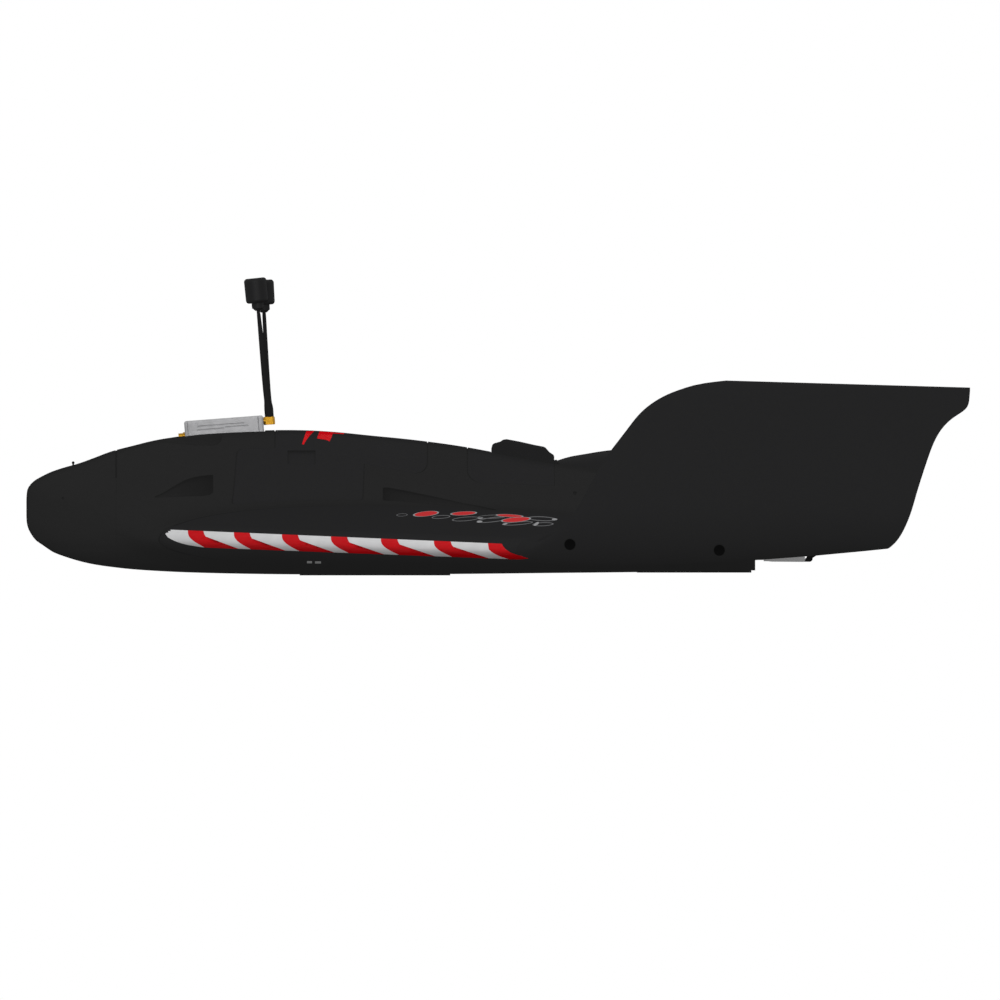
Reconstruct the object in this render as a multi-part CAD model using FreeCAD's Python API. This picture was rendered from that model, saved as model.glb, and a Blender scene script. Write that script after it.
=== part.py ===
import FreeCAD, Part
import os
import math

# A one-metre tailless FPV aeroplane: moulded foam centre body with plug-in swept wing panels,
# upswept winglets, two elevons and a pusher motor.
# Frame: +X aft, +Y starboard, +Z up. Origin: on the front belly skid's flat face, on the centre
# plane, 193.7 mm behind the flat nose face. All sizes in millimetres, all angles in degrees.

OUT = "parts"
os.makedirs(OUT, exist_ok=True)
Vec = FreeCAD.Vector
SIDES = (1, -1)          # starboard, port

# ---------------------------------------------------------------- driving dimensions
# centre body
NOSE_X = -193.7          # flat nose face
NOSE_JOINT_X = -147.0    # nose cap to body joint
TAIL_X = 184.0           # cut-off rear face
JOINT_Y = 95.0           # wing panel joint plane
RIB_T = 2.6              # thickness of the ribs on each side of the joint
# wing: leading and trailing edge places, upper and lower half thickness
ROOT_LE_X, ROOT_TE_X, ROOT_LE_Z, ROOT_TE_Z, ROOT_UP, ROOT_LO = -124.5, 241.0, 18.5, 14.5, 18.6, 13.8
TIP_LE_X, TIP_TE_X, TIP_LE_Z, TIP_TE_Z, TIP_UP, TIP_LO = 60.0, 252.0, 13.0, 14.3, 12.6, 8.1
ROOT_SECTION = (ROOT_LE_X, ROOT_TE_X, ROOT_LE_Z, ROOT_TE_Z, ROOT_UP, ROOT_LO)
TIP_SECTION = (TIP_LE_X, TIP_TE_X, TIP_LE_Z, TIP_TE_Z, TIP_UP, TIP_LO)
TIP_Y = 462.0            # wing panel to winglet joint plane
TIP_MID_Z = (TIP_LE_Z + TIP_TE_Z) / 2
TE_HALF = 0.55           # half thickness of the trailing edge
NOTCH_Y = 112.0          # propeller notch half width
WINGLET_SCREWS = ((88.0, 16.0), (165.4, 13.0))   # x, z
WINGLET_SEAT_Y = 474.0   # floor of the winglet's screw head bores
# elevon, hinges and linkage
ELEVON_Y0, ELEVON_Y1 = 116.0, 452.0
HINGE_X0, HINGE_X1 = 205.0, 213.0
HINGE_DEPTH = 1.5        # hinge pin below the upper skin
HINGE_STATIONS = (150.0, 285.0, 420.0)
LINK_Y = 200.0           # plane of the servo arm and the control horn
HORN_DX, HORN_Z = 0.9, 8.6       # clevis pin: x from the hinge axis, height above the origin
ARM_DX, ARM_DZ = -62.0, 0.5      # servo shaft from the hinge axis
# spars, locking studs and the holes through the joint ribs
SPAR_X, SPAR_Z, SPAR_R, SPAR_END = 30.0, 18.0, 4.0, 300.0
REAR_SPAR_X, REAR_SPAR_Z, REAR_SPAR_R, REAR_SPAR_END = 110.0, 17.0, 3.0, 300.0
SPAR_WALL = 1.0
STUD_X, STUD_Z, STUD_R = -50.0, 23.0, 2.0
LIGHTENING = ((6.5, -75, 20), (8.0, -15, 22), (7.0, 70, 20), (4.5, 145, 18))  # radius, x, z
# propulsion
THRUST_Z = 48.0
PROP_R = 101.6
PROP_X = 220.0
PLATE_T = 3.0            # motor plate on the tail face
MOTOR_X = TAIL_X + PLATE_T       # motor mounting face
MOTOR_BOLT_R = 8.0
MOTOR_BOLTS = [(MOTOR_BOLT_R * math.cos(math.radians(a)),
                THRUST_Z + MOTOR_BOLT_R * math.sin(math.radians(a))) for a in (45, 135, 225, 315)]
# hatches
GAP, GAP_Y = 0.5, 0.3    # lid gap in x and in y
LEDGE_W, LEDGE_D = 3.5, 1.3      # width and depth of the rebate under the lid rims
MAGNET_X, MAGNET_Y, MAGNET_R = 0.0, 36.0, 4.0
MAGNET_FIT = 0.05
POD_HALF = 17.0          # half width of the satellite receiver cover
# camera and video transmitter
CAM_X, CAM_Z = -170.0, 34.5
VTX_X0, VTX_X1, VTX_W, VTX_H = -111.9, -71.0, 37.0, 14.0
VTX_TOP_Z = 79.9         # front top edge of the case
VTX_TILT = 4.3           # the case rises toward the rear
JACK_Y, JACK_Z = 9.0, -3.05      # antenna jacks, in the case frame
JACK_OUT = {-1: 1.15, 1: 1.9}    # how far each plug stands off the case, by side


# ---------------------------------------------------------------- helpers: curves and sections
def monotone_cubic(table):
    """Monotone cubic interpolation through (x, value) rows, held constant beyond the ends."""
    xs, ys = zip(*table)
    n = len(xs)
    width = [xs[i + 1] - xs[i] for i in range(n - 1)]
    rise = [(ys[i + 1] - ys[i]) / width[i] for i in range(n - 1)]
    slope = [rise[0]] + [0.0] * (n - 2) + [rise[-1]]
    for i in range(1, n - 1):
        if rise[i - 1] * rise[i] > 0:
            w1 = 2 * width[i] + width[i - 1]
            w2 = width[i] + 2 * width[i - 1]
            slope[i] = (w1 + w2) / (w1 / rise[i - 1] + w2 / rise[i])

    def value(x):
        if x <= xs[0]:
            return ys[0]
        if x >= xs[-1]:
            return ys[-1]
        i = 0
        while x > xs[i + 1]:
            i += 1
        t = (x - xs[i]) / width[i]
        return ((1 + 2 * t) * (1 - t) ** 2 * ys[i] + t * (1 - t) ** 2 * width[i] * slope[i]
                + t * t * (3 - 2 * t) * ys[i + 1] + t * t * (t - 1) * width[i] * slope[i + 1])
    return value


def thickness(s):
    """NACA four-digit thickness form over chord fraction s: about 1 at its thickest, 0 at s = 1."""
    s = max(0.0, min(1.0, s))
    return 10.0 * (0.2969 * math.sqrt(s) - 0.1260 * s - 0.3516 * s * s
                   + 0.2843 * s ** 3 - 0.1036 * s ** 4)


def spline_wire(points):
    """Spline through the points, closed by a straight line."""
    curve = Part.BSplineCurve()
    curve.interpolate(points)
    return Part.Wire([curve.toShape(), Part.makeLine(points[-1], points[0])])


def section_wire(point_at, steps=18):
    """Airfoil wire from point_at(s, upper): over the top to the nose, then back underneath."""
    fractions = [0.5 * (1 - math.cos(math.pi * k / steps)) for k in range(steps + 1)]
    top = [point_at(s, True) for s in reversed(fractions)]
    bottom = [point_at(s, False) for s in fractions[1:]]
    return spline_wire(top + bottom)


def smooth_loft(wires):
    return Part.makeLoft(wires, True, False, False, 3)


def outward(solid):
    """Turn a loft that came out inside out."""
    if solid.Volume < 0:
        solid.reverse()
    return solid


# ---------------------------------------------------------------- helpers: primitives
def box(x0, x1, y0, y1, z0, z1):
    return Part.makeBox(x1 - x0, y1 - y0, z1 - z0, Vec(x0, y0, z0))


def wide_box(x0, x1, half_width, z0, z1):
    return box(x0, x1, -half_width, half_width, z0, z1)


def side_box(side, x0, x1, inner, outer, z0, z1):
    """Box on one side of the centre plane, between two distances from it."""
    if side > 0:
        return box(x0, x1, inner, outer, z0, z1)
    return box(x0, x1, -outer, -inner, z0, z1)


def cylinder(radius, start, end):
    return Part.makeCylinder(radius, (end - start).Length, start, end - start)


def x_cyl(radius, x0, x1, y=0.0, z=THRUST_Z):
    return cylinder(radius, Vec(x0, y, z), Vec(x1, y, z))


def y_cyl(radius, x, z, y0, y1):
    return cylinder(radius, Vec(x, y0, z), Vec(x, y1, z))


def z_cyl(radius, x, y, z0, z1):
    return cylinder(radius, Vec(x, y, z0), Vec(x, y, z1))


def prism(points, direction):
    return Part.Face(Part.makePolygon(points + [points[0]])).extrude(direction)


def xy_prism(outline, z0, z1):
    return prism([Vec(x, y, z0) for x, y in outline], Vec(0, 0, z1 - z0))


def xz_prism(outline, y0, y1):
    return prism([Vec(x, y0, z) for x, z in outline], Vec(0, y1 - y0, 0))


def yz_prism(outline, x0, x1):
    return prism([Vec(x0, y, z) for y, z in outline], Vec(x1 - x0, 0, 0))


def mirror(shape):
    return shape.mirror(Vec(0, 0, 0), Vec(0, 1, 0))


def moved(shape, dx, dy, dz):
    copy = shape.copy()
    copy.translate(Vec(dx, dy, dz))
    return copy


def placed(shape, placement):
    copy = shape.copy()
    copy.Placement = placement.multiply(copy.Placement)
    return copy


def turned(shape, angle):
    """Copy turned about the thrust line."""
    copy = shape.copy()
    copy.rotate(Vec(0, 0, THRUST_Z), Vec(1, 0, 0), angle)
    return copy


def try_fillet(shape, radius, pick):
    """Fillet the picked edges. The kernel may refuse a radius, by an error or a bad solid;
    then a smaller one is tried, and at last the shape is left sharp."""
    edges = [e for e in shape.Edges if pick(e)]
    for r in (radius, radius * 0.7, radius * 0.4):
        try:
            rounded = shape.makeFillet(r, edges)
            if rounded.isValid() and rounded.Volume > 0:
                return rounded
        except Exception:
            pass
    return shape


def every_edge(edge):
    return True


def taller_than(height):
    return lambda edge: edge.BoundBox.ZLength > height


def save(name, shape):
    """Write the solids of a piece, leaving out slivers."""
    solids = []
    for solid in shape.Solids:
        solid = outward(solid)
        if solid.Volume > 0.02:
            solids.append(solid)
    assert solids, name
    piece = solids[0] if len(solids) == 1 else Part.makeCompound(solids)
    piece.exportStep(os.path.join(OUT, name + ".step"))


# ---------------------------------------------------------------- centre body surface
# centreline profile, nose point first: x, z
DECK_PROFILE = [
    (-193.7, 36.0), (-193.68, 39.5), (-193.5, 42.6), (-192.9, 45.2), (-191.3, 47.3),
    (-189.6, 48.9), (-185.4, 51.4), (-181.3, 53.4), (-177.2, 54.9), (-173.0, 56.2),
    (-168.9, 57.3), (-164.7, 58.6), (-160.6, 60.1), (-156.4, 61.7), (-152.3, 63.3),
    (-148.1, 64.7), (-139.9, 66.8), (-132.1, 68.8), (-124.3, 70.5), (-116.6, 71.7),
    (-108.8, 72.9), (-93.2, 74.2), (-77.7, 74.9), (-62.2, 75.3), (-46.6, 75.1),
    (-31.1, 74.1), (-15.5, 72.5), (0.0, 71.0), (15.5, 69.2), (31.1, 67.0), (46.6, 64.2),
    (62.2, 61.1), (78.7, 58.2), (103.6, 54.9), (129.5, 50.8), (155.4, 46.7), (184.0, 42.0)]
BELLY_PROFILE = [
    (-193.7, 36.0), (-193.7, 31.5), (-193.5, 27.4), (-192.5, 23.8), (-190.6, 20.7),
    (-189.1, 18.6), (-186.5, 16.6), (-183.4, 14.5), (-180.3, 12.4), (-175.6, 10.4),
    (-168.9, 8.2), (-160.6, 6.1), (-148.1, 4.2), (-139.9, 3.3), (-132.1, 2.7), (-118.0, 1.9),
    (-93.2, 1.1), (-62.2, 0.6), (-20.0, 0.5), (26.0, 0.7), (84.0, 1.3), (123.0, 1.7),
    (155.0, 2.2), (184.0, 2.6)]
# plan outline: y, leading edge x
LE_AT = monotone_cubic([
    (0, -193.7), (10, -193.6), (18, -193.0), (26, -190.8), (33, -186.5), (40, -179.5),
    (46, -171.0), (51, -162.5), (55.5, -154.7), (60, -148.2), (65, -143.2), (72, -138.0),
    (80, -133.0), (88, -128.5), (95, -124.5)])
# y, share of the centreline profile; the rest is the wing root airfoil
BLEND_AT = monotone_cubic([
    (0, 1.0), (12, 0.998), (20, 0.985), (28, 0.95), (36, 0.87), (44, 0.73), (52, 0.54),
    (60, 0.34), (68, 0.18), (76, 0.075), (85, 0.018), (95, 0.0)])
BODY_STATIONS = [0, 8, 16, 24, 32, 39, 45, 50, 55, 60, 66, 73, 80, 88, 95]
TAIL_FRACTION = (TAIL_X - ROOT_LE_X) / (ROOT_TE_X - ROOT_LE_X)   # root chord kept by the body


def airfoil_point(section, s, upper):
    """x, z at chord fraction s of a section laid out as ROOT_SECTION."""
    le_x, te_x, le_z, te_z, up, lo = section
    x = le_x + (te_x - le_x) * s
    z = le_z + (te_z - le_z) * s
    edge = TE_HALF * s
    if upper:
        return x, z + up * thickness(s) + edge
    return x, z - lo * thickness(s) - edge


def length_fractions(profile):
    run = [0.0]
    for a, b in zip(profile, profile[1:]):
        run.append(run[-1] + math.hypot(b[0] - a[0], b[1] - a[1]))
    return [length / run[-1] for length in run]


def body_side(y, profile, upper):
    """The profile at station y: both parent curves start at the plan outline and are mixed."""
    share = BLEND_AT(abs(y))
    le = LE_AT(abs(y))
    points = []
    for (x, z), t in zip(profile, length_fractions(profile)):
        aft = (x - NOSE_X) / (TAIL_X - NOSE_X)
        centre_x = x + (le - NOSE_X) * (1 - aft) ** 2
        foil_x, foil_z = airfoil_point(ROOT_SECTION, TAIL_FRACTION * t ** 1.35, upper)
        aft = (foil_x - ROOT_LE_X) / (TAIL_X - ROOT_LE_X)
        foil_x = foil_x + (le - ROOT_LE_X) * (1 - aft) ** 2
        points.append(Vec(share * centre_x + (1 - share) * foil_x, y,
                          share * z + (1 - share) * foil_z))
    return points


def body_wire(y):
    top = body_side(y, DECK_PROFILE, True)
    bottom = body_side(y, BELLY_PROFILE, False)
    return spline_wire(top[::-1] + bottom[1:])


body = outward(smooth_loft([body_wire(y) for y in
                            [-v for v in reversed(BODY_STATIONS)] + BODY_STATIONS[1:]]))


# ---------------------------------------------------------------- wing surface (starboard)
def wing_section(y):
    f = (y - JOINT_Y) / (TIP_Y - JOINT_Y)
    return tuple(root + (tip - root) * f for root, tip in zip(ROOT_SECTION, TIP_SECTION))


def wing_wire(y):
    section = wing_section(y)

    def point_at(s, upper):
        x, z = airfoil_point(section, s, upper)
        return Vec(x, y, z)
    return section_wire(point_at)


def wing_top_z(x, y):
    section = wing_section(y)
    le, te = section[:2]
    return airfoil_point(section, (x - le) / (te - le), True)[1]


wing = outward(Part.makeLoft([wing_wire(JOINT_Y + 0.1), wing_wire(TIP_Y)], True, True))
wing_notched = wing.cut(box(TAIL_X, 270, JOINT_Y - 1, NOTCH_Y, -5, 60))

# ---------------------------------------------------------------- hinge frame (starboard)
# local Y runs outboard along the hinge axis, local X aft
HINGE_IN = Vec(HINGE_X0, ELEVON_Y0, wing_top_z(HINGE_X0, ELEVON_Y0) - HINGE_DEPTH)
HINGE_OUT = Vec(HINGE_X1, ELEVON_Y1, wing_top_z(HINGE_X1, ELEVON_Y1) - HINGE_DEPTH)
HINGE_AXIS = (HINGE_OUT - HINGE_IN).normalize()
ELEVON_SPAN = (HINGE_OUT - HINGE_IN).Length
HINGE_ROT = FreeCAD.Rotation(Vec(0, 1, 0), HINGE_AXIS)


def hinge_at(y):
    return HINGE_IN + HINGE_AXIS * ((y - ELEVON_Y0) / HINGE_AXIS.y)


def in_hinge_frame(shape, origin):
    return placed(shape, FreeCAD.Placement(origin, HINGE_ROT))


LINK_HINGE = hinge_at(LINK_Y)
PIN_DX, PIN_DZ = HORN_DX, HORN_Z - LINK_HINGE.z    # clevis pin from the hinge axis
SERVO_SHAFT = LINK_HINGE + HINGE_ROT.multVec(Vec(ARM_DX, 0, ARM_DZ))

# ---------------------------------------------------------------- hinges (starboard)
LEAF_LENGTH, LEAF_HALF_Y, LEAF_HALF_T = 9.0, 4.5, 0.5
LEAF_INNER_X = 1.45      # leaf edge beside the knuckles
KNUCKLE_R = 1.3
LEAF_FIT = 0.05


def hinge_cuts(slot_x0, slot_x1):
    """Knuckle pocket and leaf slot at every hinge station."""
    cuts = []
    for y in HINGE_STATIONS:
        pocket = y_cyl(1.75, 0, 0, -5.3, 5.3)
        slot = wide_box(slot_x0, slot_x1, LEAF_HALF_Y + LEAF_FIT,
                        -LEAF_HALF_T - LEAF_FIT, LEAF_HALF_T + LEAF_FIT)
        cuts += [in_hinge_frame(pocket, hinge_at(y)), in_hinge_frame(slot, hinge_at(y))]
    return cuts


def at_hinges(leaf):
    return Part.makeCompound([in_hinge_frame(leaf, hinge_at(y)) for y in HINGE_STATIONS])


def make_wing_leaves():
    """Fixed leaves: two outer knuckles carrying the pin."""
    leaf = wide_box(-LEAF_LENGTH, -LEAF_INNER_X, LEAF_HALF_Y, -LEAF_HALF_T, LEAF_HALF_T)
    for y0, y1 in ((-LEAF_HALF_Y, -1.7), (1.7, LEAF_HALF_Y)):
        leaf = leaf.fuse(y_cyl(KNUCKLE_R, 0, 0, y0, y1))
        leaf = leaf.fuse(box(-2, 0, y0, y1, -LEAF_HALF_T, LEAF_HALF_T))
    pin = y_cyl(0.6, 0, 0, -LEAF_HALF_Y, LEAF_HALF_Y)
    return at_hinges(leaf.fuse(pin).removeSplitter())


def make_elevon_leaves():
    """Moving leaves: one middle knuckle, bored for the pin."""
    leaf = wide_box(LEAF_INNER_X, LEAF_LENGTH, LEAF_HALF_Y, -LEAF_HALF_T, LEAF_HALF_T)
    leaf = leaf.fuse(y_cyl(KNUCKLE_R, 0, 0, -1.5, 1.5))
    leaf = leaf.fuse(wide_box(0, 2, 1.5, -LEAF_HALF_T, LEAF_HALF_T))
    return at_hinges(leaf.cut(y_cyl(0.65, 0, 0, -2, 2)).removeSplitter())


# ---------------------------------------------------------------- wing panel, rib, elevon
ELEVON_TOP, ELEVON_DEPTH, ELEVON_AFT = 12, -16, 70    # reach of the cutting blocks
ELEVON_GAP_X, ELEVON_GAP_Y = 0.5, 0.8
ELEVON_BEVEL = 30        # slope of the elevon's front face below the hinge


def wing_spar_bores():
    return [y_cyl(SPAR_R + 0.1, SPAR_X, SPAR_Z, 0, SPAR_END + 4),
            y_cyl(REAR_SPAR_R + 0.1, REAR_SPAR_X, REAR_SPAR_Z, 0, REAR_SPAR_END + 4)]


def make_wing_panel():
    panel = wing_notched.common(box(-140, 270, JOINT_Y + RIB_T, TIP_Y + 1, -10, 60))
    elevon_space = xz_prism([(-ELEVON_GAP_X, ELEVON_TOP), (-ELEVON_GAP_X, ELEVON_DEPTH),
                             (ELEVON_AFT, ELEVON_DEPTH), (ELEVON_AFT, ELEVON_TOP)],
                            -ELEVON_GAP_Y, ELEVON_SPAN + ELEVON_GAP_Y)
    servo_pocket = box(-17.6, 6.6, 3.2, 27.0, -20, 5.5)
    servo_lugs = box(-22.6, 11.6, 18.4, 21.0, -20, 5.5)
    # the arm's well runs on aft as a shallower slot for the pushrod
    arm_slot = box(-8.5, 9.0, -4.4, 3.2, -20, 5.0).fuse(box(8.5, 70.0, -4.4, 3.2, -20, -6.0))
    screw_bores = [y_cyl(1.55, x, z, TIP_Y - 18, TIP_Y + 12) for x, z in WINGLET_SCREWS]
    return panel.cut([in_hinge_frame(elevon_space, HINGE_IN)] + wing_spar_bores()
                     + [in_hinge_frame(s, SERVO_SHAFT)
                        for s in (servo_pocket, servo_lugs, arm_slot)]
                     + hinge_cuts(-LEAF_LENGTH - LEAF_FIT, 0) + screw_bores)


def make_wing_root_rib():
    """Rib on the panel's joint face, with the locking stud that enters the body."""
    rib = wing_notched.common(box(-140, 270, JOINT_Y, JOINT_Y + RIB_T, -10, 60))
    rib = rib.cut(wing_spar_bores())
    stud = y_cyl(STUD_R, STUD_X, STUD_Z, 79.0, JOINT_Y + 1.0)
    rib = rib.fuse(stud).removeSplitter()
    return rib.cut([y_cyl(r, x, z, 90, 102) for r, x, z in LIGHTENING])


def make_elevon():
    bevel_x = ELEVON_GAP_X - ELEVON_DEPTH * math.tan(math.radians(ELEVON_BEVEL))
    block = xz_prism([(ELEVON_GAP_X, ELEVON_TOP), (ELEVON_GAP_X, 0), (bevel_x, ELEVON_DEPTH),
                      (ELEVON_AFT, ELEVON_DEPTH), (ELEVON_AFT, ELEVON_TOP)], 0, ELEVON_SPAN)
    elevon = wing.common(in_hinge_frame(block, HINGE_IN))
    elevon = elevon.cut(hinge_cuts(0, LEAF_LENGTH + LEAF_FIT))
    horn_slot = wide_box(3.0, 19.8, 0.8, -12, -3.4)
    return elevon.cut(in_hinge_frame(horn_slot, LINK_HINGE))


# ---------------------------------------------------------------- winglet (starboard)
# bend angle, y, z, leading edge x, trailing edge x, half thickness inside and outside,
# drop toward the trailing edge per chord length
WINGLET_STATIONS = [
    (0, TIP_Y, TIP_MID_Z, TIP_LE_X, TIP_TE_X, TIP_UP, TIP_LO, 0.0),
    (7, 469.0, 14.0, 65.0, 253.0, 11.4, 7.9, 0.0),
    (20, 476.5, 15.6, 70.5, 254.8, 9.6, 7.2, 0.0),
    (38, 483.6, 19.4, 77.0, 258.2, 7.6, 6.4, 0.0),
    (58, 489.2, 25.4, 84.0, 261.7, 5.9, 5.6, 0.0),
    (76, 492.4, 33.0, 90.4, 264.8, 5.0, 5.0, 0.0),
    (86, 493.6, 42.0, 95.8, 267.5, 4.6, 4.6, 0.0),
    (90, 494.0, 51.3, 100.9, 270.4, 4.4, 4.4, 0.0),
    (90, 494.2, 61.0, 106.6, 273.6, 4.2, 4.2, 0.0),
    (90, 494.4, 69.9, 113.2, 277.1, 4.0, 4.0, 0.0),
    (90, 494.6, 76.3, 118.1, 280.9, 3.8, 3.8, 0.001),
    (90, 494.7, 82.4, 122.9, 287.0, 3.6, 3.6, 0.003),
    (90, 494.8, 86.8, 127.4, 292.6, 3.5, 3.5, 0.006),
    (90, 494.9, 90.8, 133.0, 294.6, 3.35, 3.35, 0.010),
    (90, 495.0, 94.4, 140.0, 295.0, 3.2, 3.2, 0.015),
    (90, 495.0, 97.6, 149.0, 295.2, 3.0, 3.0, 0.021),
    (90, 495.0, 99.8, 159.0, 295.3, 2.7, 2.7, 0.026),
    (90, 495.0, 101.0, 169.0, 295.3, 2.2, 2.2, 0.029),
]
TWIST_END = 30.0         # bend angle by which the wing tip's chord inclination has faded out


def winglet_wire(station):
    bend, y, z, le, te, inside, outside, slope = station
    normal_y = -math.sin(math.radians(bend))
    normal_z = math.cos(math.radians(bend))
    # the first station is the wing tip's own airfoil, whose chord line is slightly inclined
    le_dz, te_dz = TIP_LE_Z - TIP_MID_Z, TIP_TE_Z - TIP_MID_Z
    twist = max(0.0, 1 - bend / TWIST_END)

    def point_at(s, upper):
        if upper:
            h = inside * thickness(s) + TE_HALF * s
        else:
            h = -outside * thickness(s) - TE_HALF * s
        incline = (le_dz + (te_dz - le_dz) * s) * twist
        return Vec(le + (te - le) * s, y + h * normal_y,
                   z + h * normal_z + incline - slope * (te - le) * s)
    return section_wire(point_at)


def make_winglet():
    winglet = outward(smooth_loft([winglet_wire(s) for s in WINGLET_STATIONS]))
    bores = []
    for x, z in WINGLET_SCREWS:
        bores.append(y_cyl(3.1, x, z, WINGLET_SEAT_Y, WINGLET_SEAT_Y + 40))
        bores.append(y_cyl(1.6, x, z, WINGLET_SEAT_Y - 19, WINGLET_SEAT_Y + 11))
    return winglet.cut(bores)


def make_winglet_screws():
    """Cross-slotted screws, heads outboard."""
    slot_half_l, slot_half_w = 2.2, 0.35
    slot_y0, slot_y1 = WINGLET_SEAT_Y + 1.3, WINGLET_SEAT_Y + 3
    screws = []
    for x, z in WINGLET_SCREWS:
        screw = y_cyl(1.5, x, z, WINGLET_SEAT_Y - 28, WINGLET_SEAT_Y + 0.2)
        screw = screw.fuse(y_cyl(2.8, x, z, WINGLET_SEAT_Y + 0.1, WINGLET_SEAT_Y + 2.3))
        for half_x, half_z in ((slot_half_l, slot_half_w), (slot_half_w, slot_half_l)):
            screw = screw.cut(box(x - half_x, x + half_x, slot_y0, slot_y1,
                                  z - half_z, z + half_z))
        screws.append(screw.removeSplitter())
    return Part.makeCompound(screws)


# ---------------------------------------------------------------- linkage (starboard)
ROD_R = 0.8
CRANK_DX, CRANK_DY = 7.5, 3.0    # the rod's end steps sideways by CRANK_DY over CRANK_DX


def make_control_horn():
    """Hooked lever: the arm drops behind the clevis and its lower end turns forward to the pin."""
    x, z = PIN_DX, PIN_DZ
    outline = [(x, z - 1.5), (x + 4.4, z - 1.55), (x + 5.3, z - 1.2), (x + 5.8, z - 0.4),
               (6.75, -9.2), (8.5, -8.0), (19.0, -7.0), (19.5, -3.5), (8.0, -3.5), (4.4, -6.6),
               (3.5, -9.0), (3.1, z + 0.3), (2.7, z - 0.25), (x + 1.2, z - 0.3), (x, z + 1.2)]
    horn = xz_prism(outline, -0.75, 0.75).fuse(y_cyl(1.5, x, z, -0.75, 0.75))
    horn = horn.cut(y_cyl(0.85, x, z, -2, 2)).removeSplitter()
    return in_hinge_frame(horn, LINK_HINGE)


def make_pushrod():
    """Clevis and cranked wire, built along local -X from the clevis pin."""
    length = -ARM_DX
    prong = [(-17.5, -1.4), (-15.0, -1.6), (1.2, -1.6), (1.85, -1.0),
             (1.85, 1.0), (1.2, 1.6), (-15.0, 1.6), (-17.5, 1.4)]
    clevis = xz_prism(prong, -1.75, -0.95).fuse(xz_prism(prong, 0.95, 1.75))
    clevis = clevis.fuse(wide_box(-19.5, -12.5, 1.75, -1.4, 1.4))
    clevis = clevis.fuse(y_cyl(ROD_R, 0, 0, -1.75, 1.75))
    # crank at the servo end, so that the wire runs beside the arm and its end turns
    # through the arm's hole
    bend = Vec(-length + CRANK_DX, 0, 0)
    end = Vec(-length, -CRANK_DY, 0)
    rod = clevis.fuse(cylinder(ROD_R, bend, Vec(-14, 0, 0)))
    rod = rod.fuse(Part.makeSphere(ROD_R, bend)).fuse(cylinder(ROD_R, bend, end))
    rod = rod.fuse(Part.makeSphere(ROD_R, end))
    rod = rod.fuse(y_cyl(ROD_R, -length, 0, -CRANK_DY, 2.6)).removeSplitter()
    # the pin stays parallel with the hinge axis: turn with the hinge, then pitch by the rod's rise
    pin = LINK_HINGE + HINGE_ROT.multVec(Vec(PIN_DX, 0, PIN_DZ))
    pitch = math.degrees(math.atan2(ARM_DZ, length))
    pitched = HINGE_ROT.multiply(FreeCAD.Rotation(Vec(0, 1, 0), pitch))
    return placed(rod, FreeCAD.Placement(pin, pitched))


def make_servo_arm():
    x, z = PIN_DX, PIN_DZ
    arm = xz_prism([(-3.0, 0), (-1.9, z - 0.2), (-1.0, z - 2.0), (x + 1.6, z - 1.6),
                    (x + 2.1, z + 0.2), (3.0, 0)], -1.0, 1.0)
    arm = arm.fuse(y_cyl(3.4, 0, 0, -1.0, 2.6))
    arm = arm.cut(y_cyl(0.88, x, z, -2, 4))
    arm = arm.cut(y_cyl(2.05, 0, 0, -0.2, 3.8)).cut(y_cyl(1.1, 0, 0, -3, 3))
    return in_hinge_frame(arm.removeSplitter(), SERVO_SHAFT)


def make_servo():
    case = try_fillet(box(-17.0, 5.9, 4.2, 26.5, -5.0, 5.0), 0.9, every_edge)
    case = case.fuse(box(-22.0, 11.0, 18.9, 20.5, -5.0, 5.0))    # mounting lugs
    case = case.fuse(y_cyl(4.7, 0, 0, 3.4, 4.6)).fuse(y_cyl(2.0, 0, 0, 0.3, 6.3))
    case = case.cut([y_cyl(1.0, x, 0, 18, 22) for x in (-19.8, 8.8)]).removeSplitter()
    return in_hinge_frame(case, SERVO_SHAFT)


# ---------------------------------------------------------------- motor cowl and mount
# x, crest z
COWL_CREST = [(80.5, 59.2), (86, 61.0), (91.5, 62.2), (97.5, 63.2), (103.6, 64.2),
              (110, 65.0), (124, 66.0), (150, 66.4), (176, 65.6), (184, 64.8)]
COWL_FLOOR = 40.0        # lower edge of the cowl, let into the body
COWL_FIT = 0.3


def cowl_wire(x, crest, half_width, base):
    points = []
    for k in range(13):
        a = math.pi * k / 12
        c, s = math.cos(a), math.sin(a)
        points.append(Vec(x, half_width * math.copysign(abs(c) ** 0.75, c),
                          base + (crest - base) * abs(s) ** 0.62))
    return spline_wire(points)


def cowl_loft(crests, offset, base):
    """Loft with crest and half width offset from the cowl's outside."""
    wires = []
    for x, z in crests:
        aft = max(0.0, min(1.0, (x - COWL_CREST[0][0]) / 40.0))
        wires.append(cowl_wire(x, z + offset, 10.0 + offset + 8.0 * aft ** 0.7, base))
    return smooth_loft(wires)


def cowl_recess():
    crests = [(80.2, 59.5)] + COWL_CREST[1:-1] + [(190, 65.0)]
    recess = cowl_loft(crests, COWL_FIT, 34.0 - COWL_FIT)
    return recess.cut(wide_box(60, 200, 40, 0, COWL_FLOOR - COWL_FIT))


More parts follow.
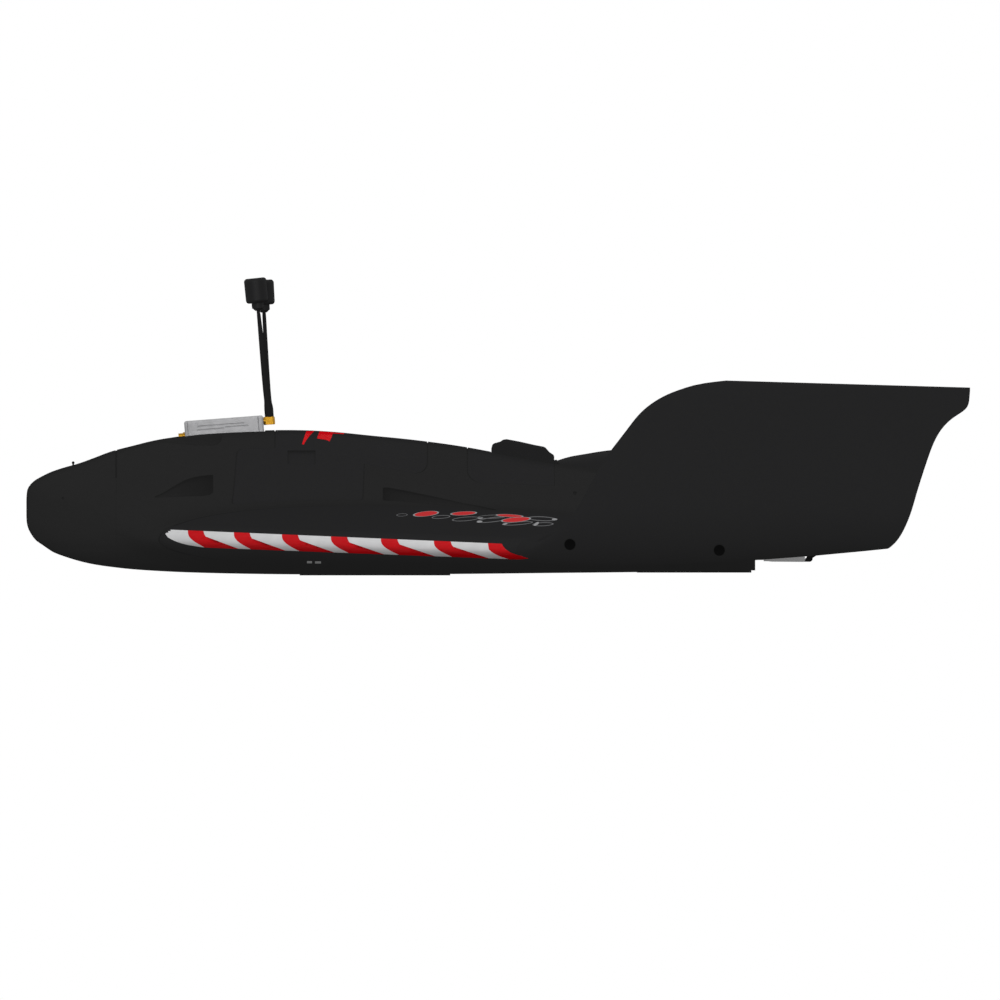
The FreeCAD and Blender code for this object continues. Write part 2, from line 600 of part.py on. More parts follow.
def make_motor_mount():
    """Hollow cowl with the motor plate across its rear end."""
    x0, x1 = TAIL_X - 1, MOTOR_X + 1
    motor_bores = [x_cyl(4.0, x0, x1)] + [x_cyl(1.6, x0, x1, y, z) for y, z in MOTOR_BOLTS]
    plate = wide_box(TAIL_X, MOTOR_X, 20, 24, 68)
    plate = try_fillet(plate, 6, lambda e: abs(e.Curve.Direction.x) > 0.9)
    plate = plate.cut(motor_bores)
    plate = plate.cut([x_cyl(2.0, x0, x1, y, 60.0) for y in (-9, 9)])
    outside = outward(cowl_loft(COWL_CREST, 0.0, 34.0))
    inside = cowl_loft([(82.5, 58.8)] + COWL_CREST[1:-1] + [(190, 64.6)], -2.0, 30.0)
    shell = outside.cut(inside).cut(wide_box(60, 200, 40, 0, COWL_FLOOR))
    mount = shell.fuse(plate).removeSplitter().cut(motor_bores)
    return mount.cut(wide_box(79.0, 84.5, 6.0, 39.0, 51.0))    # opening in the front end


# ---------------------------------------------------------------- motor
def make_motor_stator():
    stator = x_cyl(13.0, MOTOR_X, 190).fuse(x_cyl(5.0, 190, 194)).fuse(x_cyl(4.2, 190, 208))
    tooth = wide_box(194.5, 206.5, 1.5, THRUST_Z + 3.5, THRUST_Z + 9.2)
    tooth = tooth.fuse(wide_box(194.5, 206.5, 2.4, THRUST_Z + 9.0, THRUST_Z + 10.8))
    teeth = turned(tooth, 0)
    for k in range(1, 12):
        teeth = teeth.fuse(turned(tooth, 30.0 * k))
    coil = x_cyl(8.6, 193.2, 207.6).cut(x_cyl(4.0, 193, 208))
    stator = stator.fuse(teeth).fuse(coil).cut(x_cyl(2.3, 180, 215))
    bolt_bores = [x_cyl(1.25, 186, 189.5, y, z) for y, z in MOTOR_BOLTS]
    return stator.cut(bolt_bores).removeSplitter()


def make_mount_screws():
    screws = []
    for y, z in MOTOR_BOLTS:
        screw = x_cyl(1.2, 182.4, 189.2, y, z).fuse(x_cyl(2.6, 180.4, 184.0, y, z))
        screws.append(screw.cut(x_cyl(1.0, 180.0, 181.6, y, z)).removeSplitter())
    return Part.makeCompound(screws)


def make_motor_bell():
    """Cup open to the front, with six windows in its rear face and a magnet ring inside."""
    bell = x_cyl(13.9, 191.5, 212.5).cut(x_cyl(12.0, 191, 210.5))
    bell = try_fillet(bell, 1.4, lambda e: e.BoundBox.XMin > 212.3 and e.BoundBox.YLength > 20)
    window = yz_prism([(-3.2, THRUST_Z + 10.6), (3.2, THRUST_Z + 10.6),
                       (1.4, THRUST_Z + 5.2), (-1.4, THRUST_Z + 5.2)], 209, 214)
    for k in range(6):
        bell = bell.cut(turned(window, 60 * k))
    magnets = x_cyl(12.02, 194, 207.5).cut(x_cyl(11.2, 193, 208.5))
    return bell.cut(x_cyl(2.0, 205, 215)).fuse(magnets).removeSplitter()


def make_prop_shaft():
    shaft = x_cyl(2.0, 188, 234).fuse(x_cyl(5.0, 212.5, 216.0)).fuse(x_cyl(2.5, 216, 234))
    return shaft.removeSplitter()


def make_motor_wires():
    """Three wires from the speed controller up into the cowl and aft to the motor."""
    wires = []
    for y in (-3.4, 0.0, 3.4):
        path = [Vec(72.0, y, 25.8), Vec(76.5, y, 30.0), Vec(82, y, 44.5), Vec(92, y, 47.2),
                Vec(120, y, 47.6), Vec(160, y, 47.8), Vec(183.2, y, 48.0)]
        curve = Part.BSplineCurve()
        curve.interpolate(path)
        tangent = curve.tangent(curve.FirstParameter)[0]
        ring = Part.Wire([Part.makeCircle(1.15, path[0], tangent)])
        wires.append(Part.Wire([curve.toShape()]).makePipeShell([ring], True, False))
    return Part.makeCompound(wires)


# ---------------------------------------------------------------- propeller
# radius, chord, pitch angle, thickness
BLADE_STATIONS = [
    (5.0, 9.5, 62, 5.2), (12, 11.5, 56, 4.4), (22, 16.5, 46, 3.4), (36, 21.0, 34, 2.6),
    (52, 21.5, 25.5, 2.1), (68, 19.0, 20, 1.7), (82, 15.5, 17, 1.35), (92, 12.0, 15.3, 1.1),
    (98.5, 8.0, 14.4, 0.9), (PROP_R, 3.4, 14, 0.6)]
SHAFT_BORE_R = 2.55


def blade_wire(radius, chord, pitch, thick):
    sin_p, cos_p = math.sin(math.radians(pitch)), math.cos(math.radians(pitch))

    def point_at(s, upper):
        c = chord * (s - 0.42)
        h = 0.62 * thick * thickness(s) + 0.12 if upper else -0.38 * thick * thickness(s) - 0.12
        return Vec(PROP_X + c * sin_p + h * cos_p, radius, THRUST_Z - c * cos_p + h * sin_p)
    return section_wire(point_at, steps=8)


def make_propeller():
    hub = try_fillet(x_cyl(7.5, 216.05, 224.0), 1.2, lambda e: e.BoundBox.YLength > 12)
    blade = outward(smooth_loft([blade_wire(*station) for station in BLADE_STATIONS]))
    propeller = hub.fuse(blade).fuse(turned(blade, 180))
    return propeller.cut([x_cyl(SHAFT_BORE_R, 200, 240), x_cyl(6.4, 224.0, 232)]).removeSplitter()


def make_prop_nut():
    """Flanged hexagon nut with a tapered rear end."""
    angles = [math.radians(60 * k) for k in range(6)]
    hexagon = yz_prism([(4.6 * math.cos(a), THRUST_Z + 4.6 * math.sin(a)) for a in angles],
                       226.0, 230.5)
    taper = Part.makeCone(4.0, 2.9, 6.0, Vec(230.5, 0, THRUST_Z), Vec(1, 0, 0))
    nut = x_cyl(6.0, 224.1, 226.0).fuse(hexagon).fuse(taper)
    return nut.cut(x_cyl(SHAFT_BORE_R, 220, 234.6)).removeSplitter()


# ---------------------------------------------------------------- hatch blocks and rebates
# the main lid is a middle part with an ear on each side: x, y
CENTRE_LID = [(-64.5, 44.0), (14.0, 54.5)]      # front and rear corners
REAR_LID = [(35.2, 56.5), (79.9, 51.0)]
EAR_LID = [(-84.0, 42.0), (-87.0, 76.0), (-19.6, 76.0), (-18.4, 42.0)]
CENTRE_FLOOR, EAR_FLOOR, REAR_FLOOR = 48.0, 33.6, 46.0    # undersides of the lids
FLOOR_GAP = 0.25
INNER_FLOOR = 20.0       # the block that leaves the rebate ring runs well below the lids
COLUMN_TOP = 110


def lid_column(outline, floor, radius, pick_x=lambda x: True):
    """Upright block with the vertical edges rounded where pick_x accepts their x."""
    return try_fillet(xy_prism(outline, floor, COLUMN_TOP), radius,
                      lambda e: e.BoundBox.ZLength > 20 and pick_x(e.BoundBox.XMin))


def grown_outline(corners, grow_x, grow_y):
    (x0, y0), (x1, y1) = corners
    return [(x0 - grow_x, -y0 - grow_y), (x1 + grow_x, -y1 - grow_y),
            (x1 + grow_x, y1 + grow_y), (x0 - grow_x, y0 + grow_y)]


def main_block(grow_x, grow_y, centre_floor, ear_floor):
    centre = lid_column(grown_outline(CENTRE_LID, grow_x, grow_y), centre_floor, 7.0,
                        lambda x: x > 0)
    (x0, y0), (x1, y1), (x2, y2), (x3, y3) = EAR_LID
    ear = lid_column([(x0 - grow_x, y0), (x1 - grow_x, y1 + grow_y),
                      (x2 + grow_x, y2 + grow_y), (x3 + grow_x, y3)], ear_floor, 3.0)
    return centre.fuse(ear).fuse(mirror(ear))


def rear_block(grow_x, grow_y, floor):
    return lid_column(grown_outline(REAR_LID, grow_x, grow_y), floor, 7.0, lambda x: x < 50)


# the body keeps a ledge under each lid's rim, and the rim is thinned to lie on it
main_opening = main_block(GAP, GAP_Y, CENTRE_FLOOR - FLOOR_GAP, EAR_FLOOR - FLOOR_GAP)
main_ring = main_opening.cut(main_block(-LEDGE_W, -LEDGE_W, INNER_FLOOR, INNER_FLOOR))
rear_opening = rear_block(GAP, GAP_Y, REAR_FLOOR - FLOOR_GAP)
rear_ring = rear_opening.cut(rear_block(-LEDGE_W, -LEDGE_W, INNER_FLOOR))
ledge_surface = moved(body, 0, 0, -LEDGE_D)
rim_surface = moved(body, 0, 0, -LEDGE_D + 0.1)


def make_main_hatch():
    hatch = body.common(main_block(0.0, 0.0, CENTRE_FLOOR, EAR_FLOOR))
    hatch = hatch.cut(main_ring.common(rim_surface))
    # shallow finger recesses in the shoulders
    for side in SIDES:
        recess = side_box(side, -58.2, -43.8, 36.0, 62.0, 57.6, 64.6)
        hatch = hatch.cut(recess.cut(moved(body, 0, -1.5 * side, -0.9)))
    return hatch.cut([z_cyl(MAGNET_R + MAGNET_FIT, MAGNET_X, y, 47.0, 50.05)
                      for y in (-MAGNET_Y, MAGNET_Y)])


def magnet_pair(z0, z1):
    return Part.makeCompound([z_cyl(MAGNET_R, MAGNET_X, y, z0, z1)
                              for y in (-MAGNET_Y, MAGNET_Y)])


def make_rear_hatch():
    """Rear lid with a slot for the receiver cover and a seat for the module."""
    hatch = body.common(rear_block(0.0, 0.0, REAR_FLOOR)).cut(rear_ring.common(rim_surface))
    cover_foot = [(47.0, 61.8), (47.0, 90), (80.1, 90), (80.1, 55.4), (76.3, 55.4),
                  (76.3, 57.3), (62.2, 58.6)]
    module_seat = [(51.0, 57.6), (76.9, 53.6), (76.9, 70), (51.0, 70)]
    hatch = hatch.cut(xz_prism(cover_foot, -POD_HALF - 0.3, POD_HALF + 0.3))
    return hatch.cut(xz_prism(module_seat, -POD_HALF + 2.1, POD_HALF - 2.1))


# ---------------------------------------------------------------- satellite receiver
# side views: x, z
POD_OUTSIDE = [(47.2, 58.0), (47.3, 65.8), (47.8, 67.6), (48.6, 68.4), (51.8, 69.3), (53.4, 70.3),
               (55.1, 70.6), (57.0, 70.3), (62.2, 69.3), (69.7, 67.6), (74.4, 66.7), (75.4, 66.2),
               (77.4, 63.9), (79.4, 62.6), (79.9, 61.7), (79.9, 54.0)]
POD_INSIDE = [(48.9, 50.0), (48.9, 66.2), (54.0, 68.2), (57.0, 68.0), (73.6, 64.4),
              (77.8, 60.6), (77.8, 50.0)]
POD_BELOW = [(40, 30), (40, 62.0), (47.2, 62.0), (62.2, 58.8), (76.3, 57.55), (79.9, 57.0),
             (90, 56.5), (90, 30)]
POD_WALL = 1.8


def make_gps_cover():
    """A raised box with chamfered ends that follows the sloping deck, slotted at the rear."""
    def upper_outline_edge(edge):
        bounds = edge.BoundBox
        return bounds.YLength < 0.01 and bounds.ZMin > 61.0 and bounds.XLength > 0.3

    cover = try_fillet(xz_prism(POD_OUTSIDE, -POD_HALF, POD_HALF), 1.4, upper_outline_edge)
    cover = cover.cut(xz_prism(POD_INSIDE, -POD_HALF + POD_WALL, POD_HALF - POD_WALL))
    cover = cover.cut(xz_prism(POD_BELOW, -30, 30))
    return cover.cut([box(77.0, 82, -9.0 + 5.0 * k, -6.4 + 5.0 * k, 57.6, 60.0)
                      for k in range(4)])


def make_gps_module():
    module = try_fillet(wide_box(53.0, 73.5, 10.0, 0.0, 6.6), 0.8, taller_than(5))
    module = module.fuse(wide_box(54.5, 72.0, 8.7, 6.6, 7.4))
    module.rotate(Vec(64, 0, 0), Vec(0, 1, 0), 8.9)
    module.translate(Vec(0, 0, 55.7))
    return module


# ---------------------------------------------------------------- video transmitter
# case frame: origin on the front top edge, local X aft along the sloping top
VTX_ROT = FreeCAD.Rotation(Vec(0, 1, 0), -VTX_TILT)
VTX_PLACE = FreeCAD.Placement(Vec(VTX_X0, 0, VTX_TOP_Z), VTX_ROT)
VTX_LENGTH = (VTX_X1 - VTX_X0) / math.cos(math.radians(VTX_TILT))
VTX_HALF = VTX_W / 2
# grooves in both sides: x0, x1, z0, z1
VTX_GROOVES = [(7.0, 31.0, -3.6, -3.0), (21.2, 33.0, -5.0, -4.4), (6.6, 20.4, -5.5, -4.9),
               (1.4, 1.9, -8, 1), (38.2, 38.6, -8, 1)]


def make_vtx_case():
    case = wide_box(0, VTX_LENGTH, VTX_HALF, -VTX_H, 0)
    case = try_fillet(case, 1.2, lambda e: e.BoundBox.ZLength > 10 or e.BoundBox.ZMin > -0.1)
    cuts = [side_box(side, x0, x1, VTX_HALF - 0.7, VTX_HALF + 1, z0, z1)
            for side in SIDES for x0, x1, z0, z1 in VTX_GROOVES]
    # nine long slots in the top
    cuts += [box(3.6, VTX_LENGTH - 3.6, -14.6 + 3.3 * k, -12.9 + 3.3 * k, -1.6, 1)
             for k in range(9)]
    return placed(case.cut(cuts), VTX_PLACE)


def make_vtx_connectors():
    """Coax jacks: two at the rear for the antennas, one low at the front."""
    jacks = []
    for side in (-1, 1):
        y = side * JACK_Y
        jack = x_cyl(1.6, VTX_LENGTH, VTX_LENGTH + JACK_OUT[side] - 0.05, y, JACK_Z)
        jacks.append(jack.cut(x_cyl(0.9, VTX_LENGTH + 0.2, VTX_LENGTH + 4.2, y, JACK_Z)))
    y, z = -12.0, -7.6
    front = x_cyl(1.9, 0, -1.0, y, z).fuse(x_cyl(1.45, 0, -3.4, y, z))
    jacks.append(front.cut(x_cyl(0.6, -1, -5, y, z)))
    return Part.makeCompound([placed(jack, VTX_PLACE) for jack in jacks])


def vtx_cuts():
    """Recess for the case in the deck, with clearance for the front jack and the rear plugs."""
    case = wide_box(-0.5, VTX_LENGTH + 0.5, VTX_HALF + 0.5, -VTX_H - 0.2, 12)
    front_jack = box(-5.0, 1.0, -15.0, -9.0, -10.0, 8)
    plugs = wide_box(VTX_LENGTH - 1, VTX_LENGTH + 8.2, 16.0, -5.2, 8)
    return [placed(shape, VTX_PLACE) for shape in (case, front_jack, plugs)]


# ---------------------------------------------------------------- antennas
HEAD_R, HEAD_H = 5.85, 12.95


def make_antenna(side, tilt, stalk_x, top_z):
    """Head, stalk and right-angle plug of one antenna; the stalk leans forward by tilt."""
    out = JACK_OUT[side]
    base = VTX_PLACE.multVec(Vec(VTX_LENGTH + out, side * JACK_Y, JACK_Z))
    # a sleeve over the jack and an elbow block, square to the jack
    plug = x_cyl(2.1, -out + 0.1, 0, 0, 0).cut(x_cyl(1.68, -out, 0, 0, 0))
    plug = plug.fuse(wide_box(-0.03, 4.1, 2.1, -2.1, 2.0))
    plug = try_fillet(plug, 0.5, lambda e: e.BoundBox.XMin > 4.0)
    plug = placed(plug, FreeCAD.Placement(base, VTX_ROT))
    axis = Vec(-math.sin(math.radians(tilt)), 0, math.cos(math.radians(tilt)))
    foot = base + VTX_ROT.multVec(Vec(stalk_x, 0, 1.9))
    head_start = (top_z - foot.z) / axis.z - HEAD_H

    def along(distance):
        return foot + axis * distance

    stalk = Part.makeCone(1.5, 0.98, 8.4, foot, axis)
    stalk = stalk.fuse(Part.makeCylinder(0.92, head_start + 2.0, foot, axis))
    stalk = stalk.cut(plug).removeSplitter()
    head = Part.makeCylinder(HEAD_R, HEAD_H, along(head_start), axis)
    head = try_fillet(head, 1.7, every_edge)
    head = head.fuse([Part.makeCylinder(3.1, 3.0, along(head_start - 2.7), axis),
                      Part.makeCone(1.5, 2.8, 1.35, along(head_start - 4.0), axis)])
    head = head.cut(Part.makeCylinder(0.97, 6.6, along(head_start - 4.5), axis)).removeSplitter()
    return {"head": head, "stalk": stalk, "plug": plug}


# ---------------------------------------------------------------- submerged inlets and outlets
# each is the overlap of a side view (x, z) taken over a y range
# and a plan-view wedge (x, y) taken over a z range
DUCTS = [
    # side inlets, deepest at the rear end
    ([(-124.5, 39.9), (-113.0, 38.8), (-103.0, 39.4), (-98.4, 40.6), (-97.0, 42.4), (-97.0, 51.6),
      (-100.0, 52.4), (-106.0, 51.8), (-112.0, 49.0), (-118.5, 44.2)], (10.0, 90.0),
     [(-130.0, 76.0), (-124.5, 66.0), (-97.0, 42.0), (-97.0, 76.0)], (30, 60)),
    # deck inlets beside the transmitter, deepest at the rear end
    ([(-117.0, 67.8), (-96.0, 67.2), (-93.6, 68.2), (-92.2, 70.4), (-92.2, 74.4), (-94.6, 75.2),
      (-103.0, 74.2), (-110.0, 72.0)], (21.5, 51.5),
     [(-120.0, 40.0), (-115.0, 36.0), (-92.2, 24.0), (-92.2, 40.0)], (60, 80)),
    # side outlets: square front end, tapering out to the rear, over the wing root
    ([(-8.8, 38.8), (-8.8, 45.2), (-5.0, 45.5), (6.0, 43.0), (30.0, 38.0), (49.7, 34.0),
      (49.7, 33.5), (36.0, 34.8), (13.0, 37.3), (2.0, 38.3)], (40.0, 92.0),
     [(-8.8, 57.0), (-8.8, 92.0), (52.0, 92.0), (52.0, 81.0)], (25, 55)),
]


def duct_cuts():
    cuts = []
    for side_view, (y0, y1), plan, (z0, z1) in DUCTS:
        for side in SIDES:
            window = xz_prism(side_view, y0 * side, y1 * side)
            wedge = xy_prism([(x, y * side) for x, y in plan], z0, z1)
            cuts.append(window.common(wedge))
    return cuts


# ---------------------------------------------------------------- centre body pieces
def body_spar_holes():
    return [y_cyl(SPAR_R + 0.05, SPAR_X, SPAR_Z, -120, 120),
            y_cyl(REAR_SPAR_R + 0.05, REAR_SPAR_X, REAR_SPAR_Z, -120, 120)]


def make_fuselage():
    bay = try_fillet(wide_box(-125, 25, 33, 8, 52), 4, taller_than(20))
    rear_bay = try_fillet(wide_box(39, 75, 24, 14, 50), 3, taller_than(20))
    main_space = main_opening.cut(main_ring.common(ledge_surface))
    rear_space = rear_opening.cut(rear_ring.common(ledge_surface))
    cable_way = wide_box(74, 200, 8, 42, 58)
    nut_wells = [side_box(side, -64, -36, 60, 92.4, 13, 32.4) for side in SIDES]
    wire_ways = [side_box(side, -30, -22, 30, 62, 14, 22) for side in SIDES]
    wire_ways.append(wide_box(20, 42, 6, 24, 34))
    skid_pockets = [wide_box(-52.2, 26.2, 21.2, -2, 1.6), wide_box(122.5, 182.2, 15.2, -2, 3.1)]

    fuselage = body.common(wide_box(NOSE_JOINT_X, TAIL_X, JOINT_Y - RIB_T, -10, 90))
    for cut in ([bay, rear_bay, main_space, rear_space] + vtx_cuts()
                + [cable_way, cowl_recess()] + nut_wells + wire_ways + body_spar_holes()
                + duct_cuts() + skid_pockets):
        fuselage = fuselage.cut(cut)
    fuselage = fuselage.cut([z_cyl(MAGNET_R + MAGNET_FIT, MAGNET_X, y, 45.0, 51.0)
                             for y in (-MAGNET_Y, MAGNET_Y)])
    fuselage = fuselage.cut(wide_box(181.0, 190, 12, 34, 62))    # behind the motor plate screws
    return fuselage.cut(wide_box(70, 90, 8, 24, 50))             # rise of the motor wires


def make_fuselage_ribs():
    ribs = []
    for side in SIDES:
        rib = body.common(side_box(side, -140, TAIL_X, JOINT_Y - RIB_T, JOINT_Y - 0.1, -10, 90))
        rib = rib.cut(body_spar_holes() + [y_cyl(STUD_R + 0.15, STUD_X, STUD_Z, -120, 120)])
        ribs += rib.cut([y_cyl(r, x, z, -120, 120) for r, x, z in LIGHTENING]).Solids
    return Part.makeCompound(ribs)


# hollow of the nose cap: ring points y, z, scaled at each station
NOSE_RING = [(24, 18), (27, 30), (26, 42), (20, 50), (8, 53), (-8, 53), (-20, 50), (-26, 42),
             (-27, 30), (-24, 18), (-14, 13), (14, 13)]
# x, y scale, z scale, z the heights are scaled about
NOSE_STATIONS = [(-189.5, 0.62, 0.50, 34.0), (-182, 0.86, 0.72, 33.0), (-172, 1.15, 0.88, 33.0),
                 (-160, 1.42, 1.0, 33.0), (-146, 1.6, 1.08, 33.0)]


def make_nose_cap():
    """Hollow nose with the camera window, a cross bore and a small ball-headed peg on top."""
    cap = body.common(wide_box(NOSE_X - 2, NOSE_JOINT_X, 90, -10, 90))
    hollow = outward(smooth_loft([
        spline_wire([Vec(x, y * y_scale, mid_z + (z - mid_z) * z_scale) for y, z in NOSE_RING])
        for x, y_scale, z_scale, mid_z in NOSE_STATIONS]))
    window = wide_box(-200, -180, 11.5, 22.5, 47.0)
    window = try_fillet(window, 4.0, lambda e: e.BoundBox.XLength > 10)
    cap = cap.cut(hollow).cut(window).cut([y_cyl(0.9, -174.6, 39.9, -80, 80)])
    peg_x = -169.3
    peg = z_cyl(0.45, peg_x, 0, 55.5, 58.1).fuse(Part.makeSphere(0.75, Vec(peg_x, 0, 58.35)))
    return cap.fuse(peg).removeSplitter()


def make_lock_nuts():
    """Scalloped nuts on the wing studs."""
    nuts = []
    for side in SIDES:
        nut = y_cyl(8.0, STUD_X, STUD_Z, 86.0 * side, 92.0 * side)
        nut = nut.fuse(y_cyl(4.2, STUD_X, STUD_Z, 82.0 * side, 86.2 * side))
        for k in range(12):
            a = math.radians(30 * k)
            nut = nut.cut(y_cyl(1.1, STUD_X + 8.5 * math.cos(a), STUD_Z + 8.5 * math.sin(a),
                                84 * side, 94 * side))
        nuts += nut.cut(y_cyl(STUD_R + 0.1, STUD_X, STUD_Z, 78 * side, 98 * side)).Solids
    return Part.makeCompound(nuts)


def make_belly_skids():
    def upright(edge):
        return edge.BoundBox.ZLength > 1.4 and edge.BoundBox.XLength < 0.01

    front = try_fillet(wide_box(-52, 26, 21, 0.0, 1.55), 8, upright)
    rear = try_fillet(wide_box(122.7, 182.0, 15, 1.45, 3.05), 6, upright)
    return Part.makeCompound([front, rear])


def make_spar(radius, x, z, end):
    bore = y_cyl(radius - SPAR_WALL, x, z, -end - 1, end + 1)
    return y_cyl(radius, x, z, -end, end).cut(bore)


# ---------------------------------------------------------------- camera and bracket
BRACKET_HALF, BRACKET_T = 12.4, 1.5
BRACKET_CHEEK = [(-176, 31), (-173, 28.5), (-162, 24.5), (-147, 24.5), (-147, 30), (-158, 42),
                 (-168, 41.5), (-175, 39)]      # side view: x, z


def make_camera_bracket():
    """Floor, two cheeks and a rear plate that meets the body's front face."""
    x, z = NOSE_JOINT_X, 24.5
    bracket = wide_box(-158.0, x, BRACKET_HALF, z, z + BRACKET_T)
    for side in SIDES:
        bracket = bracket.fuse(xz_prism(BRACKET_CHEEK, side * (BRACKET_HALF - BRACKET_T),
                                        side * BRACKET_HALF))
    bracket = bracket.fuse(wide_box(x - BRACKET_T, x, BRACKET_HALF, z, 40))
    return bracket.cut([y_cyl(1.15, CAM_X, CAM_Z, -40, 40)]).removeSplitter()


def make_camera_body():
    camera = wide_box(CAM_X - 8.5, CAM_X + 7.5, 9.5, CAM_Z - 9.5, CAM_Z + 9.5)
    camera = try_fillet(camera, 1.6, every_edge)
    camera = camera.cut(x_cyl(6.05, CAM_X - 9, CAM_X - 4, 0, CAM_Z))
    for side in SIDES:
        # pivot pin, its head outside the bracket cheek and its collar inside
        pivot = y_cyl(1.1, CAM_X, CAM_Z, 9.4 * side, 13.0 * side)
        pivot = pivot.fuse(y_cyl(2.1, CAM_X, CAM_Z, 12.45 * side, 13.75 * side))
        pivot = pivot.fuse(y_cyl(3.0, CAM_X, CAM_Z, 9.4 * side, 10.8 * side))
        camera = camera.fuse(pivot)
    return camera.removeSplitter()


def make_camera_lens():
    lens = x_cyl(6.0, CAM_X - 14.5, CAM_X - 4.1, 0, CAM_Z)
    lens = lens.fuse(x_cyl(7.0, CAM_X - 20.5, CAM_X - 14.3, 0, CAM_Z))
    lens = lens.cut(x_cyl(5.6, CAM_X - 21, CAM_X - 19, 0, CAM_Z))
    glass = Part.makeSphere(6.6, Vec(CAM_X - 13.4, 0, CAM_Z))
    glass = glass.common(x_cyl(5.6, CAM_X - 20.1, CAM_X - 16.1, 0, CAM_Z))
    return lens.fuse(glass).removeSplitter()


# ---------------------------------------------------------------- equipment in the bays
TRAY_TOP = 10.0
ON_TRAY = TRAY_TOP + 0.05


def make_equipment_tray():
    tray = try_fillet(wide_box(-124.5, 24.5, 32.5, 8.05, TRAY_TOP), 4.0, taller_than(1.5))
    return tray.cut([z_cyl(4, x, y, 5, 15) for x in (-90, -60, -30) for y in (-26, 26)])


def make_battery():
    battery = wide_box(-120.0, -15.0, 17.5, 11.2, 40.0)
    battery = try_fillet(battery, 2.5, lambda e: e.BoundBox.XLength > 50)
    return battery.fuse(wide_box(-15.0, -12.5, 12, 14, 36))


def make_battery_strap():
    """Band round the battery, with its free end lying on top."""
    strap = wide_box(-80, -62, 19.4, ON_TRAY, 41.6).cut(wide_box(-81, -61, 17.8, 11.1, 40.3))
    return strap.fuse(box(-80, -62, -16, 12, 41.6, 43.0)).removeSplitter()


def make_flight_controller():
    """Board on four posts, with three blocks on top."""
    board_top = 17.6
    board = wide_box(-8, 22, 15, 16.0, board_top)
    board = board.fuse([z_cyl(1.8, x, y, ON_TRAY, ON_TRAY + 10.5)
                        for x in (-5, 19) for y in (-12, 12)])
    for x0, x1, half_width, z1 in ((0, 12, 6, 19.4), (13.5, 18.5, 9, 20.5), (-6.5, -2.0, 8, 21.0)):
        board = board.fuse(wide_box(x0, x1, half_width, board_top, z1))
    return board.removeSplitter()


def make_speed_controller():
    """Case with seven fins on top, cut away at the rear for the motor wires."""
    case = try_fillet(wide_box(41, 73, 12.5, 16, 24), 1.5, lambda e: e.BoundBox.XLength > 20)
    case = case.fuse([wide_box(44 + 4 * k, 46 + 4 * k, 10, 24, 27) for k in range(7)])
    case = case.fuse(wide_box(43, 72, 10.5, 23, 24.6)).removeSplitter()
    return case.cut(wide_box(70, 80, 6, 23.0, 30))


def make_radio_receiver():
    """Case on a pad, with an upright whip."""
    receiver = try_fillet(box(-121.0, -105.0, 20.5, 31.5, 12.0, 18.0), 0.8, taller_than(4))
    receiver = receiver.fuse(z_cyl(0.5, -113, 26, 18, 40))
    return receiver.fuse(box(-121.0, -105.0, 21.5, 30.5, ON_TRAY, 12.1)).removeSplitter()


# ---------------------------------------------------------------- write
CENTRE_PIECES = {
    "fuselage_shell": make_fuselage(),
    "nose_cap": make_nose_cap(),
    "camera_bracket": make_camera_bracket(),
    "vtx_case": make_vtx_case(),
    "vtx_connectors": make_vtx_connectors(),
    "battery": make_battery(),
    "battery_strap": make_battery_strap(),
    "equipment_tray": make_equipment_tray(),
    "flight_controller": make_flight_controller(),
    "speed_controller": make_speed_controller(),
    "radio_receiver": make_radio_receiver(),
    "motor_mount": make_motor_mount(),
    "motor_stator": make_motor_stator(),
    "motor_mount_screws": make_mount_screws(),
    "motor_wires": make_motor_wires(),
    "main_spar": make_spar(SPAR_R, SPAR_X, SPAR_Z, SPAR_END),
    "rear_spar": make_spar(REAR_SPAR_R, REAR_SPAR_X, REAR_SPAR_Z, REAR_SPAR_END),
    "fuselage_root_ribs": make_fuselage_ribs(),
    "wing_lock_nuts": make_lock_nuts(),
    "belly_skids": make_belly_skids(),
    "bay_magnets": magnet_pair(45.2, 47.4),
    "main_hatch": make_main_hatch(),
    "main_hatch_magnets": magnet_pair(48.0, 50.0),
    "rear_hatch": make_rear_hatch(),
    "gps_cover": make_gps_cover(),
    "gps_module": make_gps_module(),
    "camera_body": make_camera_body(),
    "camera_lens": make_camera_lens(),
    "motor_bell": make_motor_bell(),
    "prop_shaft": make_prop_shaft(),
    "propeller": make_propeller(),
    "prop_nut": make_prop_nut(),
}
# built to starboard, mirrored to port
HANDED_PIECES = {
    "wing_panel": make_wing_panel(),
    "wing_root_rib": make_wing_root_rib(),
    "servo": make_servo(),
    "winglet": make_winglet(),
    "winglet_screws": make_winglet_screws(),
    "hinge_leaves_wing": make_wing_leaves(),
    "elevon": make_elevon(),
    "hinge_leaves_elevon": make_elevon_leaves(),
    "control_horn": make_control_horn(),
    "servo_arm": make_servo_arm(),
    "pushrod": make_pushrod(),
}
ANTENNAS = {
    "left": make_antenna(-1, tilt=5.89, stalk_x=2.05, top_z=154.0),
    "right": make_antenna(1, tilt=2.92, stalk_x=1.35, top_z=153.1),
}

for name, piece in CENTRE_PIECES.items():
    save(name, piece)
for tag, antenna in ANTENNAS.items():
    for name, piece in antenna.items():
        save("antenna_" + name + "_" + tag, piece)
for name, piece in HANDED_PIECES.items():
    save(name + "_right", piece)
    save(name + "_left", mirror(piece))
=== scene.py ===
import bpy
import bmesh
import math
import random
import numpy as np
from mathutils import Vector, Matrix, Quaternion
from mathutils.bvhtree import BVHTree


